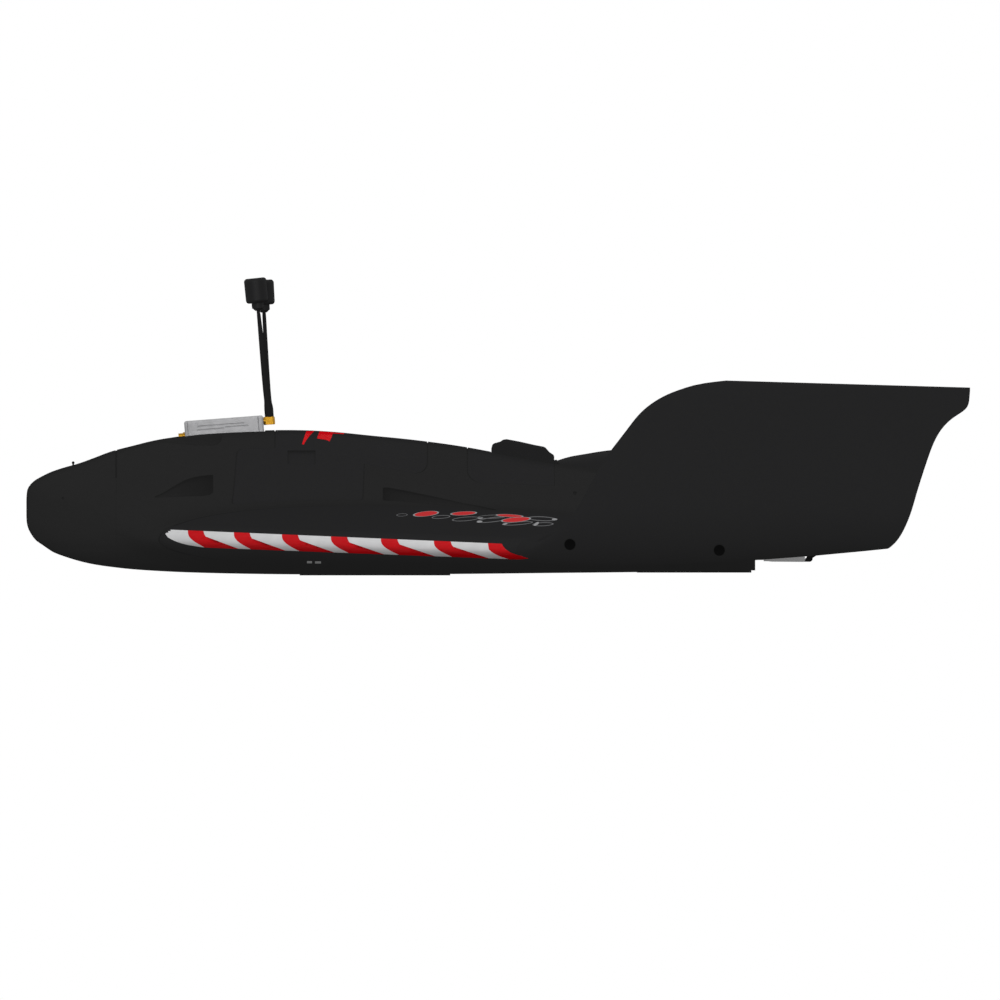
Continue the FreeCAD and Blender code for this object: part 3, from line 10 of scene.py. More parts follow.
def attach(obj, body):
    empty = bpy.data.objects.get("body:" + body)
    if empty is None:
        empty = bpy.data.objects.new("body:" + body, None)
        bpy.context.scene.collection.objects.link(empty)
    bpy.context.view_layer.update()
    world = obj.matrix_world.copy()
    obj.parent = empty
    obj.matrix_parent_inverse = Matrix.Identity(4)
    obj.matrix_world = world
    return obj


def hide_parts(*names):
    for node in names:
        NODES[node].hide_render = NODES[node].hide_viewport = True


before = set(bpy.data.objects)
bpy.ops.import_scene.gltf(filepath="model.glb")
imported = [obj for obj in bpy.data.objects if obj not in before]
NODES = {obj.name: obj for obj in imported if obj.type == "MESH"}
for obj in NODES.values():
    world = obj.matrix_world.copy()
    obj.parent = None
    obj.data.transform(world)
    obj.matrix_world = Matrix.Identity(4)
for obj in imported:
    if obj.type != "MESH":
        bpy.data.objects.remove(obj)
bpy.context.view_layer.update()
rng = random.Random(7)

# ------------------------------------------------------------------ colour helpers


def lin(v):
    v = v / 255.0
    return v / 12.92 if v <= 0.04045 else ((v + 0.055) / 1.055) ** 2.4


def rgb(r, g, b, a=1.0):
    return (lin(r), lin(g), lin(b), a)


# ------------------------------------------------------------------ node material kit
class Mat:
    """Small helper that builds a node tree in object coordinates, in millimetres."""

    def __init__(self, name):
        self.m = bpy.data.materials.new(name)
        self.m.use_nodes = True
        self.t = self.m.node_tree
        self.t.nodes.clear()
        self.out = self.n("ShaderNodeOutputMaterial")
        self.bsdf = self.n("ShaderNodeBsdfPrincipled")
        self.link(self.bsdf.outputs[0], self.out.inputs[0])
        tc = self.n("ShaderNodeTexCoord")
        mp = self.n("ShaderNodeMapping")
        mp.inputs["Scale"].default_value = (1000, 1000, 1000)
        self.link(tc.outputs["Object"], mp.inputs[0])
        self.co = mp.outputs[0]

    def n(self, kind, **kw):
        x = self.t.nodes.new(kind)
        for k, v in kw.items():
            setattr(x, k, v)
        return x

    def link(self, a, b):
        self.t.links.new(a, b)

    def val(self, sock, v):
        if hasattr(v, "is_linked") or hasattr(v, "links"):
            self.link(v, sock)
        else:
            sock.default_value = v

    def scaled(self, sx, sy, sz, rot=(0, 0, 0)):
        mp = self.n("ShaderNodeMapping")
        mp.inputs["Scale"].default_value = (sx, sy, sz)
        mp.inputs["Rotation"].default_value = rot
        self.link(self.co, mp.inputs[0])
        return mp.outputs[0]

    def noise(self, scale, detail=4.0, rough=0.55, co=None, dist=0.0):
        x = self.n("ShaderNodeTexNoise")
        self.link(co or self.co, x.inputs["Vector"])
        x.inputs["Scale"].default_value = scale
        x.inputs["Detail"].default_value = detail
        x.inputs["Roughness"].default_value = rough
        x.inputs["Distortion"].default_value = dist
        return x.outputs["Fac"]

    def voronoi(self, scale, feature="F1", co=None, rand=1.0, out="Distance"):
        x = self.n("ShaderNodeTexVoronoi", feature=feature)
        self.link(co or self.co, x.inputs["Vector"])
        x.inputs["Scale"].default_value = scale
        x.inputs["Randomness"].default_value = rand
        return x.outputs[out]

    def wave(self, scale, direction="X", co=None, profile="SIN", dist=0.0, detail=0.0, dscale=1.0):
        x = self.n("ShaderNodeTexWave", wave_type="BANDS", bands_direction=direction, wave_profile=profile)
        self.link(co or self.co, x.inputs["Vector"])
        x.inputs["Scale"].default_value = scale
        x.inputs["Distortion"].default_value = dist
        x.inputs["Detail"].default_value = detail
        x.inputs["Detail Scale"].default_value = dscale
        return x.outputs["Fac"]

    def ramp(self, fac, stops, interp="LINEAR"):
        x = self.n("ShaderNodeValToRGB")
        x.color_ramp.interpolation = interp
        e = x.color_ramp.elements
        while len(e) > 1:
            e.remove(e[-1])
        e[0].position, e[0].color = stops[0][0], stops[0][1]
        for p, c in stops[1:]:
            y = e.new(p)
            y.color = c
        self.link(fac, x.inputs[0])
        return x.outputs[0]

    def maprange(self, v, a, b, c, d, smooth=False):
        x = self.n("ShaderNodeMapRange", interpolation_type="SMOOTHSTEP" if smooth else "LINEAR")
        self.link(v, x.inputs[0])
        for i, q in enumerate((a, b, c, d)):
            x.inputs[1 + i].default_value = q
        return x.outputs[0]

    def math(self, op, a, b=None, clamp=False):
        x = self.n("ShaderNodeMath", operation=op, use_clamp=clamp)
        self.val(x.inputs[0], a)
        if b is not None:
            self.val(x.inputs[1], b)
        return x.outputs[0]

    def mix(self, fac, a, b, blend="MIX"):
        x = self.n("ShaderNodeMix", data_type="RGBA", blend_type=blend)
        self.val(x.inputs[0], fac)
        self.val(x.inputs[6], a)
        self.val(x.inputs[7], b)
        return x.outputs[2]

    def bump(self, height, dist, strength=1.0, normal=None):
        x = self.n("ShaderNodeBump")
        x.inputs["Strength"].default_value = strength
        x.inputs["Distance"].default_value = dist / 1000.0
        self.link(height, x.inputs["Height"])
        if normal is not None:
            self.link(normal, x.inputs["Normal"])
        return x.outputs[0]

    def bevel(self, r_mm, samples=4):
        x = self.n("ShaderNodeBevel", samples=samples)
        x.inputs["Radius"].default_value = r_mm / 1000.0
        return x.outputs[0]

    def edge(self, r_mm, samples=6):
        """1 on convex and concave edges, 0 on flats, from the difference of two normals."""
        b = self.bevel(r_mm, samples)
        g = self.n("ShaderNodeNewGeometry")
        d = self.n("ShaderNodeVectorMath", operation="DOT_PRODUCT")
        self.link(b, d.inputs[0])
        self.link(g.outputs["Normal"], d.inputs[1])
        return self.maprange(d.outputs["Value"], 0.97, 0.80, 0.0, 1.0)

    def soft_spec(self, level, keep=0.0):
        """Specular level that fades towards grazing view, as on a porous or finely textured skin."""
        lw = self.n("ShaderNodeLayerWeight")
        lw.inputs[0].default_value = 0.5
        return self.maprange(lw.outputs["Facing"], 0.25, 0.8, level, level * keep)

    def set(self, **kw):
        names = {"base": "Base Color", "rough": "Roughness", "metal": "Metallic", "spec": "Specular IOR Level", "normal": "Normal",
                 "coat": "Coat Weight", "coat_rough": "Coat Roughness", "sheen": "Sheen Weight", "sheen_rough": "Sheen Roughness",
                 "aniso": "Anisotropic", "ior": "IOR", "trans": "Transmission Weight", "alpha": "Alpha", "sss": "Subsurface Weight",
                 "glow": "Emission Strength", "glow_col": "Emission Color"}
        for k, v in kw.items():
            self.val(self.bsdf.inputs[names[k]], v)
        return self.m


def set_mat(obj, m):
    obj.data.materials.clear()
    obj.data.materials.append(m)


def cad_mat(node, m):
    o = NODES[node]
    if len(o.material_slots):
        for s in o.material_slots:
            s.link = "DATA"
            s.material = m
    else:
        o.data.materials.append(m)
    return o


# ------------------------------------------------------------------ materials
PAINTED_FILL_GLOW = 0.0106      # painted fill light: an even emission on the foam that lifts shaded undersides and keeps recesses soft


def mat_foam(name, base=(23, 23, 23), var=1.0, bead=2.6, bump=0.05, rough=0.7):
    """Moulded polypropylene foam: fused beads of about bead mm, faint seams, soft sheen."""
    k = Mat(name)
    d = k.voronoi(1.0 / bead, "DISTANCE_TO_EDGE")
    cell = k.voronoi(1.0 / bead, "F1", out="Color")
    sep = k.n("ShaderNodeSeparateColor")
    k.link(cell, sep.inputs[0])
    seam = k.maprange(d, 0.0, 0.16, 0.0, 1.0, True)
    big = k.noise(0.012, 3, 0.5)
    fine = k.noise(1.6, 5, 0.6)
    c0 = rgb(*[x * (1 - 0.035 * var) for x in base])
    c1 = rgb(*[x * (1 + 0.045 * var) for x in base])
    tone = k.math("ADD", k.math("MULTIPLY", sep.outputs[0], 0.35), k.math("MULTIPLY", big, 0.65))
    col = k.mix(tone, c0, c1)
    col = k.mix(k.math("MULTIPLY", k.math("SUBTRACT", 1.0, seam), 0.16 * var), col, rgb(*[x * 0.7 for x in base]))
    # handling wear: raised edges pick up a slightly paler rub
    col = k.mix(k.math("MULTIPLY", k.edge(0.9), 0.10), col, rgb(*[x * 1.35 for x in base]))
    h = k.math("ADD", k.math("MULTIPLY", seam, 0.75), k.math("MULTIPLY", fine, 0.25))
    nrm = k.bump(h, bump, 0.55, k.bevel(0.7))
    r = k.maprange(k.math("ADD", k.math("MULTIPLY", fine, 0.5), k.math("MULTIPLY", sep.outputs[1], 0.5)), 0, 1, rough - 0.06, rough + 0.08)
    # painted fill light: the foam glows faintly so its shaded undersides and recesses stay grey
    return k.set(base=col, rough=r, spec=k.soft_spec(0.02), normal=nrm, glow_col=(1, 1, 1, 1), glow=PAINTED_FILL_GLOW)


def mat_plastic(name, base, rough=0.45, grain=0.02, gscale=3.0, coat=0.0, spec=0.2, bevel=0.3, wear=0.12, glow=0.003):
    k = Mat(name)
    g1 = k.noise(gscale, 5, 0.6)
    g2 = k.noise(0.05, 3, 0.5)
    col = k.mix(k.maprange(g2, 0.3, 0.7, 0, 1), rgb(*[x * 0.93 for x in base]), rgb(*[min(255, x * 1.07) for x in base]))
    col = k.mix(k.math("MULTIPLY", k.edge(bevel * 1.3), wear), col, rgb(*[min(255, x * 1.6 + 12) for x in base]))
    nrm = k.bump(g1, grain, 0.6, k.bevel(bevel))
    r = k.maprange(k.math("ADD", k.math("MULTIPLY", g1, 0.5), k.math("MULTIPLY", g2, 0.5)), 0.2, 0.8, rough - 0.07, rough + 0.09)
    # painted fill light: a faint even emission lifts the shaded sides of the plastic
    return k.set(base=col, rough=r, spec=k.soft_spec(spec, 0.0), normal=nrm, coat=coat, coat_rough=0.15, glow_col=(1, 1, 1, 1), glow=glow)


def mat_metal(name, base, rough=0.3, brush=None, aniso=0.0, bevel=0.25, grain=0.01, dirt=0.25, metal=1.0):
    k = Mat(name)
    if brush:
        co = k.scaled(*brush)
        s = k.noise(1.0, 6, 0.7, co)
    else:
        s = k.noise(6.0, 6, 0.65)
    stain = k.noise(0.18, 4, 0.6)
    col = k.mix(k.maprange(stain, 0.35, 0.75, 0, 1), rgb(*base), rgb(*[x * 0.88 for x in base]))
    col = k.mix(k.math("MULTIPLY", k.maprange(s, 0.3, 0.7, 0, 1), dirt * 0.5), col, rgb(*[x * 0.75 for x in base]))
    nrm = k.bump(s, grain, 0.6, k.bevel(bevel))
    r = k.maprange(s, 0.25, 0.75, rough - 0.08, rough + 0.12)
    return k.set(base=col, rough=r, metal=metal, normal=nrm, aniso=aniso)


def mat_carbon(name):
    """2x2 twill weave under clear resin."""
    k = Mat(name)
    w1 = k.wave(0.55, "DIAGONAL", k.scaled(1, 1, 1, (0, 0, 0)), "SAW")
    w2 = k.wave(0.55, "DIAGONAL", k.scaled(1, -1, 1, (0, 0, 0)), "SAW")
    f = k.math("GREATER_THAN", w1, w2)
    col = k.mix(f, rgb(22, 22, 23), rgb(52, 52, 54))
    fib = k.noise(9.0, 3, 0.6, k.scaled(1, 0.08, 1))
    nrm = k.bump(k.math("ADD", f, k.math("MULTIPLY", fib, 0.3)), 0.03, 0.5, k.bevel(0.2))
    return k.set(base=col, rough=0.32, spec=0.5, coat=0.8, coat_rough=0.08, normal=nrm)


def mat_fabric(name, base, pitch=0.55):
    k = Mat(name)
    a = k.wave(1.0 / pitch, "X")
    b = k.wave(1.0 / pitch, "Y")
    w = k.math("MULTIPLY", a, b)
    f = k.noise(4.0, 4, 0.6)
    col = k.mix(w, rgb(*[x * 0.6 for x in base]), rgb(*[min(255, x * 1.2) for x in base]))
    nrm = k.bump(k.math("ADD", w, k.math("MULTIPLY", f, 0.4)), 0.12, 0.8)
    return k.set(base=col, rough=0.9, spec=0.2, sheen=0.25, sheen_rough=0.4, normal=nrm)


def mat_vinyl(name, base, rough=0.45, glow=0.0):
    """Printed vinyl: slightly glossy, with faint bead print-through from the foam below."""
    k = Mat(name)
    d = k.voronoi(1.0 / 2.6, "DISTANCE_TO_EDGE")
    seam = k.maprange(d, 0.0, 0.16, 0.0, 1.0, True)
    sc = k.noise(0.9, 5, 0.65)
    g2 = k.noise(0.05, 2, 0.5)
    col = k.mix(k.maprange(g2, 0.3, 0.7, 0, 1), rgb(*[x * 0.97 for x in base]), rgb(*[min(255, x * 1.02) for x in base]))
    nrm = k.bump(k.math("ADD", seam, k.math("MULTIPLY", sc, 0.3)), 0.022, 0.5)
    # painted light: an optional even emission that lifts a decal where it sits in shade
    return k.set(base=col, rough=k.maprange(sc, 0.3, 0.7, rough - 0.05, rough + 0.07), spec=k.soft_spec(0.06, 0.0), normal=nrm, glow_col=(1, 1, 1, 1), glow=glow)


FOAM = mat_foam("foam_body")
FOAM_TOP = mat_foam("foam_lid", (23, 23, 24), 1.0)
FOAM_WING = mat_foam("foam_wing", (23, 23, 24), 1.0)
# painted shade: the winglets use the same foam made darker, for their upright faces that take less light
FOAM_FIN_SHADED = mat_foam("foam_winglet_shaded", (19, 19, 20), 0.9)
RED = mat_vinyl("vinyl_red", (206, 12, 22))
WHITE = mat_vinyl("vinyl_white", (220, 220, 221))
OVAL_RED = mat_vinyl("vinyl_oval_red", (204, 56, 58))
OVAL_WHITE = mat_vinyl("vinyl_oval_pale", (158, 158, 160))
# painted light: the grey marks glow so they stay pale in the shade under the wing
MARK = mat_vinyl("vinyl_mark", (150, 150, 150), glow=0.1)
GREY = mat_vinyl("vinyl_grey", (112, 112, 114))
# painted fill light: the emission values below lift the shaded sides of these plastics
PLASTIC = mat_plastic("plastic_black", (15, 15, 16), 0.5, 0.03, 2.2, bevel=0.4, spec=0.06, glow=0.0092)
PLASTIC_FINE = mat_plastic("plastic_fine", (17, 17, 18), 0.45, 0.015, 5.0, bevel=0.2, spec=0.12, glow=0.006)
SKID = mat_plastic("plastic_skid", (20, 20, 21), 0.55, 0.05, 1.2, bevel=0.4, wear=0.2, spec=0.1, glow=0.009)

# ------------------------------------------------------------------ outer surfaces, in millimetres
NOSE_X, TAIL_X, JOINT_Y, TIP_Y = -193.7, 184.0, 95.0, 462.0
ROOT_LE_X, ROOT_TE_X, TIP_LE_X, TIP_TE_X = -124.5, 241.0, 60.0, 252.0
ROOT_LE_Z, ROOT_TE_Z, ROOT_UP, ROOT_LO = 18.5, 14.5, 18.6, 13.8
TIP_LE_Z, TIP_TE_Z, TIP_UP, TIP_LO = 13.0, 14.3, 12.6, 8.1
TE_HALF, NOTCH_Y, NOSE_JOINT_X = 0.55, 112.0, -147.0
GAP, GAP_Y, LEDGE_W, LEDGE_D = 0.5, 0.12, 3.5, 0.5


def pchip(xs, ys):
    n = len(xs)
    h = [xs[i + 1] - xs[i] for i in range(n - 1)]
    d = [(ys[i + 1] - ys[i]) / h[i] for i in range(n - 1)]
    m = [d[0]] + [0.0] * (n - 2) + [d[-1]]
    for i in range(1, n - 1):
        if d[i - 1] * d[i] > 0:
            w1, w2 = 2 * h[i] + h[i - 1], h[i] + 2 * h[i - 1]
            m[i] = (w1 + w2) / (w1 / d[i - 1] + w2 / d[i])

    def f(x):
        if x <= xs[0]:
            return ys[0]
        if x >= xs[-1]:
            return ys[-1]
        i = 0
        while x > xs[i + 1]:
            i += 1
        t = (x - xs[i]) / h[i]
        return ((1 + 2 * t) * (1 - t) ** 2 * ys[i] + t * (1 - t) ** 2 * h[i] * m[i]
                + t * t * (3 - 2 * t) * ys[i + 1] + t * t * (t - 1) * h[i] * m[i + 1])
    return f


def cubic(ts, vs):
    """Natural cubic spline through (ts, vs); vs may be 2-D. Returns a function of an array of t."""
    ts = np.asarray(ts, float)
    vs = np.asarray(vs, float)
    n = len(ts)
    h = np.diff(ts)
    A = np.zeros((n, n))
    b = np.zeros((n,) + vs.shape[1:])
    A[0, 0] = A[-1, -1] = 1
    for i in range(1, n - 1):
        A[i, i - 1], A[i, i], A[i, i + 1] = h[i - 1], 2 * (h[i - 1] + h[i]), h[i]
        b[i] = 6 * ((vs[i + 1] - vs[i]) / h[i] - (vs[i] - vs[i - 1]) / h[i - 1])
    m = np.linalg.solve(A, b)

    def f(t):
        t = np.clip(np.asarray(t, float), ts[0], ts[-1])
        i = np.clip(np.searchsorted(ts, t, side="right") - 1, 0, n - 2)
        hi = h[i]
        a = (ts[i + 1] - t)
        c = (t - ts[i])
        if vs.ndim > 1:
            a, c, hi = a[:, None], c[:, None], hi[:, None]
        return (m[i] * a ** 3 + m[i + 1] * c ** 3) / (6 * hi) + (vs[i] / hi - m[i] * hi / 6) * a + (vs[i + 1] / hi - m[i + 1] * hi / 6) * c
    return f


def g(s):
    s = max(0.0, min(1.0, s))
    return 10.0 * (0.2969 * math.sqrt(s) - 0.1260 * s - 0.3516 * s * s + 0.2843 * s ** 3 - 0.1036 * s ** 4)


def airfoil(le_x, te_x, le_z, te_z, up, lo, s, upper):
    z = le_z + (te_z - le_z) * s
    t = TE_HALF * s
    return (le_x + (te_x - le_x) * s, z + up * g(s) + t if upper else z - lo * g(s) - t)


def root_point(s, upper):
    return airfoil(ROOT_LE_X, ROOT_TE_X, ROOT_LE_Z, ROOT_TE_Z, ROOT_UP, ROOT_LO, s, upper)


TOP = [(-193.7, 36.0), (-193.68, 39.5), (-193.5, 42.6), (-192.9, 45.2), (-191.3, 47.3), (-189.6, 48.9), (-185.4, 51.4), (-181.3, 53.4),
       (-177.2, 54.9), (-173.0, 56.2), (-168.9, 57.3), (-164.7, 58.6), (-160.6, 60.1), (-156.4, 61.7), (-152.3, 63.3),
       (-148.1, 64.7), (-139.9, 66.8), (-132.1, 68.8), (-124.3, 70.5), (-116.6, 71.7), (-108.8, 72.9), (-93.2, 74.2),
       (-77.7, 74.9), (-62.2, 75.3), (-46.6, 75.1), (-31.1, 74.1), (-15.5, 72.5), (0.0, 71.0), (15.5, 69.2),
       (31.1, 67.0), (46.6, 64.2), (62.2, 61.1), (78.7, 58.2), (103.6, 54.9), (129.5, 50.8), (155.4, 46.7), (184.0, 42.0)]
BOT = [(-193.7, 36.0), (-193.7, 31.5), (-193.5, 27.4), (-192.5, 23.8), (-190.6, 20.7), (-189.1, 18.6), (-186.5, 16.6), (-183.4, 14.5),
       (-180.3, 12.4), (-175.6, 10.4), (-168.9, 8.2), (-160.6, 6.1), (-148.1, 4.2), (-139.9, 3.3), (-132.1, 2.7),
       (-118.0, 1.9), (-93.2, 1.1), (-62.2, 0.6), (-20.0, 0.5), (26.0, 0.7), (84.0, 1.3), (123.0, 1.7), (155.0, 2.2),
       (184.0, 2.6)]
S_END = (TAIL_X - ROOT_LE_X) / (ROOT_TE_X - ROOT_LE_X)
LE_OF_Y = pchip([0, 10, 18, 26, 33, 40, 46, 51, 55.5, 60, 65, 72, 80, 88, 95],
                [-193.7, -193.6, -193.0, -190.8, -186.5, -179.5, -171.0, -162.5, -154.7, -148.2, -143.2, -138.0, -133.0,
                 -128.5, -124.5])
BLEND = pchip([0, 12, 20, 28, 36, 44, 52, 60, 68, 76, 85, 95],
              [1.0, 0.998, 0.985, 0.95, 0.87, 0.73, 0.54, 0.34, 0.18, 0.075, 0.018, 0.0])


def arc_params(pts):
    d = [0.0]
    for a, b in zip(pts, pts[1:]):
        d.append(d[-1] + math.hypot(b[0] - a[0], b[1] - a[1]))
    return [x / d[-1] for x in d]


U_TOP, U_BOT = arc_params(TOP), arc_params(BOT)


def side_points(y, profile, u, upper):
    b = BLEND(abs(y))
    le = LE_OF_Y(abs(y))
    out = []
    for (xc, zc), t in zip(profile, u):
        sc = (xc - NOSE_X) / (TAIL_X - NOSE_X)
        cx = xc + (le - NOSE_X) * (1 - sc) ** 2
        sa = S_END * t ** 1.35
        ax, az = root_point(sa, upper)
        fa = (ax - ROOT_LE_X) / (TAIL_X - ROOT_LE_X)
        ax = ax + (le - ROOT_LE_X) * (1 - fa) ** 2
        out.append((b * cx + (1 - b) * ax, b * zc + (1 - b) * az))
    return out


def param_grid(n_top, n_bot):
    """Loop parameters: 0..1 on the top (tail to nose), 1..2 on the bottom (nose to tail), dense at the nose."""
    top = [1 - (1 - k / n_top) ** 1.25 for k in range(n_top + 1)]
    bot = [1 + (k / n_bot) ** 1.25 for k in range(1, n_bot + 1)]
    return top, bot


def body_loop(y, ts):
    top = side_points(y, TOP, U_TOP, True)
    bot = side_points(y, BOT, U_BOT, False)
    pts = list(reversed(top)) + bot[1:]
    t = [1 - u for u in reversed(U_TOP)] + [1 + u for u in U_BOT[1:]]
    f = cubic(t, pts)
    return [(x, y, z) for x, z in f(ts)]


# ------------------------------------------------------------------ mesh kit
COLL = bpy.context.scene.collection
MM = 0.001


def new_obj(name, verts, faces, mat=None, smooth=True, mm=True):
    me = bpy.data.meshes.new(name)
    s = MM if mm else 1.0
    me.from_pydata([(v[0] * s, v[1] * s, v[2] * s) for v in verts], [], faces)
    me.validate()
    bm = bmesh.new()
    bm.from_mesh(me)
    bmesh.ops.remove_doubles(bm, verts=bm.verts, dist=1e-7)
    bmesh.ops.recalc_face_normals(bm, faces=bm.faces)
    bm.to_mesh(me)
    bm.free()
    o = bpy.data.objects.new(name, me)
    COLL.objects.link(o)
    if mat:
        me.materials.append(mat)
    if smooth:
        for p in me.polygons:
            p.use_smooth = True
    return o


def loft(name, loops, mat=None, closed=True, caps=True, smooth=True):
    n = len(loops[0])
    verts = [v for lp in loops for v in lp]
    faces = []
    for i in range(len(loops) - 1):
        for j in range(n if closed else n - 1):
            k = (j + 1) % n
            faces.append((i * n + j, i * n + k, (i + 1) * n + k, (i + 1) * n + j))
    if caps:
        faces.append(tuple(range(n - 1, -1, -1)))
        faces.append(tuple((len(loops) - 1) * n + j for j in range(n)))
    return new_obj(name, verts, faces, mat, smooth)


def prism_obj(name, pts, vec):
    n = len(pts)
    b = [(p[0] + vec[0], p[1] + vec[1], p[2] + vec[2]) for p in pts]
    faces = [tuple(range(n - 1, -1, -1)), tuple(range(n, 2 * n))] + [(i, (i + 1) % n, n + (i + 1) % n, n + i) for i in range(n)]
    return new_obj(name, list(pts) + b, faces, None, False)


def box_obj(name, x0, x1, y0, y1, z0, z1):
    return prism_obj(name, [(x0, y0, z0), (x1, y0, z0), (x1, y1, z0), (x0, y1, z0)], (0, 0, z1 - z0))


def cyl_obj(name, r, p, d, length, n=48):
    d = Vector(d).normalized()
    q = d.to_track_quat("Z", "Y")
    a = [q @ Vector((r * math.cos(2 * math.pi * k / n), r * math.sin(2 * math.pi * k / n), 0)) + Vector(p) for k in range(n)]
    return prism_obj(name, [tuple(v) for v in a], tuple(d * length))


def evaluated(o):
    dg = bpy.context.evaluated_depsgraph_get()
    return bpy.data.meshes.new_from_object(o.evaluated_get(dg))


def boolean(o, cutters, op="DIFFERENCE", solver="MANIFOLD"):
    for c in (cutters if isinstance(cutters, (list, tuple)) else [cutters]):
        m = o.modifiers.new("b", "BOOLEAN")
        m.operation = op
        m.object = c
        m.solver = solver
    me = evaluated(o)
    old = o.data
    o.modifiers.clear()
    o.data = me
    bpy.data.meshes.remove(old)
    return o


def drop(objs):
    for c in objs:
        bpy.data.objects.remove(c, do_unlink=True)


def smooth_by_angle(o, deg=32):
    me = o.data
    bm = bmesh.new()
    bm.from_mesh(me)
    bmesh.ops.remove_doubles(bm, verts=bm.verts, dist=2e-6)
    bmesh.ops.dissolve_degenerate(bm, dist=1e-6, edges=bm.edges)
    lim = math.radians(deg)
    for f in bm.faces:
        f.smooth = True
    for e in bm.edges:
        e.smooth = not (len(e.link_faces) == 2 and e.calc_face_angle(0) > lim)
    bm.to_mesh(me)
    bm.free()
    return o


def copy_obj(o, name):
    c = o.copy()
    c.data = o.data.copy()
    c.name = name
    COLL.objects.link(c)
    return c


def mirrored(o, name):
    c = copy_obj(o, name)
    bm = bmesh.new()
    bm.from_mesh(c.data)
    for v in bm.verts:
        v.co.y = -v.co.y
    bmesh.ops.reverse_faces(bm, faces=bm.faces)
    bm.to_mesh(c.data)
    bm.free()
    return c


# ------------------------------------------------------------------ base skins
YS = sorted(set([round(v, 3) for v in np.concatenate([np.arange(0, 60.1, 1.5), np.arange(61.5, 95.01, 1.861)])] + [92.4, 95.0]))
YS = [-y for y in reversed(YS)] + YS[1:]
T_TOP, T_BOT = param_grid(130, 110)
body = loft("tmp_body", [body_loop(y, T_TOP + T_BOT) for y in YS])


def wing_loop(y, ss):
    f = (y - JOINT_Y) / (TIP_Y - JOINT_Y)
    mix = lambda a, b: a + (b - a) * f
    arg = (mix(ROOT_LE_X, TIP_LE_X), mix(ROOT_TE_X, TIP_TE_X), mix(ROOT_LE_Z, TIP_LE_Z), mix(ROOT_TE_Z, TIP_TE_Z),
           mix(ROOT_UP, TIP_UP), mix(ROOT_LO, TIP_LO))
    top = [airfoil(*arg, s, True) for s in reversed(ss)]
    bot = [airfoil(*arg, s, False) for s in ss[1:]]
    return [(x, y, z) for x, z in top + bot]


def wing_z(x, y, upper):
    f = (y - JOINT_Y) / (TIP_Y - JOINT_Y)
    mix = lambda a, b: a + (b - a) * f
    le, te = mix(ROOT_LE_X, TIP_LE_X), mix(ROOT_TE_X, TIP_TE_X)
    return airfoil(le, te, mix(ROOT_LE_Z, TIP_LE_Z), mix(ROOT_TE_Z, TIP_TE_Z), mix(ROOT_UP, TIP_UP),
                   mix(ROOT_LO, TIP_LO), (x - le) / (te - le), upper)[1]


SS = [0.5 * (1 - math.cos(math.pi * k / 90)) for k in range(91)]
wing = loft("tmp_wing", [wing_loop(y, SS) for y in np.linspace(JOINT_Y + 0.1, TIP_Y, 74)])

# hinge frame of the starboard elevon
ELEVON_Y0, ELEVON_Y1, HINGE_X0, HINGE_X1, HINGE_DEPTH = 116.0, 452.0, 205.0, 213.0, 1.5
HA = Vector((HINGE_X0, ELEVON_Y0, wing_z(HINGE_X0, ELEVON_Y0, True) - HINGE_DEPTH))
HB = Vector((HINGE_X1, ELEVON_Y1, wing_z(HINGE_X1, ELEVON_Y1, True) - HINGE_DEPTH))
AXIS = (HB - HA).normalized()
SPAN = (HB - HA).length
HQ = Vector((0, 1, 0)).rotation_difference(AXIS)
LINK_Y, HORN_DX, HORN_Z, ARM_DX, ARM_DZ = 200.0, 0.9, 8.6, -62.0, 0.5


def hinge_at(y):
    return HA + AXIS * ((y - ELEVON_Y0) / AXIS.y)


def hloc(pts, origin=None):
    o = origin or HA
    return [tuple(HQ @ Vector(p) + o) for p in pts]


def hprism(name, poly, y0, y1, origin=None):
    n = len(poly)
    pts = hloc([(x, y0, z) for x, z in poly] + [(x, y1, z) for x, z in poly], origin)
    faces = [tuple(range(n - 1, -1, -1)), tuple(range(n, 2 * n))] + [(i, (i + 1) % n, n + (i + 1) % n, n + i) for i in range(n)]
    return new_obj(name, pts, faces, None, False)


P_HINGE = hinge_at(LINK_Y)
HORN = Vector((HORN_DX, 0, HORN_Z - P_HINGE.z))
P_ARM = P_HINGE + HQ @ Vector((ARM_DX, 0, ARM_DZ))

# ------------------------------------------------------------------ wing panel and elevon (starboard, then mirrored)
tn = math.tan(math.radians(30))
cut_notch = box_obj("c1", TAIL_X, 270, JOINT_Y - 1, NOTCH_Y, -5, 60)
cut_elev = hprism("c2", [(-0.5, 12), (-0.5, -16), (70, -16), (70, 12)], -0.8, SPAN + 0.8)
cut_rib = box_obj("c3", -140, 270, JOINT_Y - 1, JOINT_Y + 2.6, -10, 60)
cut_pocket = hprism("c4", [(-17.6, -20), (6.6, -20), (6.6, 5.5), (-17.6, 5.5)], 3.2, 27.0, P_ARM)
cut_lug = hprism("c5", [(-22.6, -20), (11.6, -20), (11.6, 5.5), (-22.6, 5.5)], 18.4, 21.0, P_ARM)
cut_slot1 = hprism("c6", [(-8.5, -20), (9.0, -20), (9.0, 5.0), (-8.5, 5.0)], -4.4, 3.25, P_ARM)
cut_slot2 = hprism("c7", [(8.5, -20), (70, -20), (70, -6.0), (8.5, -6.0)], -4.4, 3.2, P_ARM)
panel = copy_obj(wing, "skin_wing_right")
boolean(panel, [cut_notch, cut_elev, cut_rib, cut_pocket, cut_lug, cut_slot1, cut_slot2])
blk = hprism("c8", [(0.5, 12), (0.5, 0), (0.5 + 16 * tn, -16), (70, -16), (70, 12)], 0, SPAN)
elevon = copy_obj(wing, "skin_elevon_right")
boolean(elevon, blk, "INTERSECT")
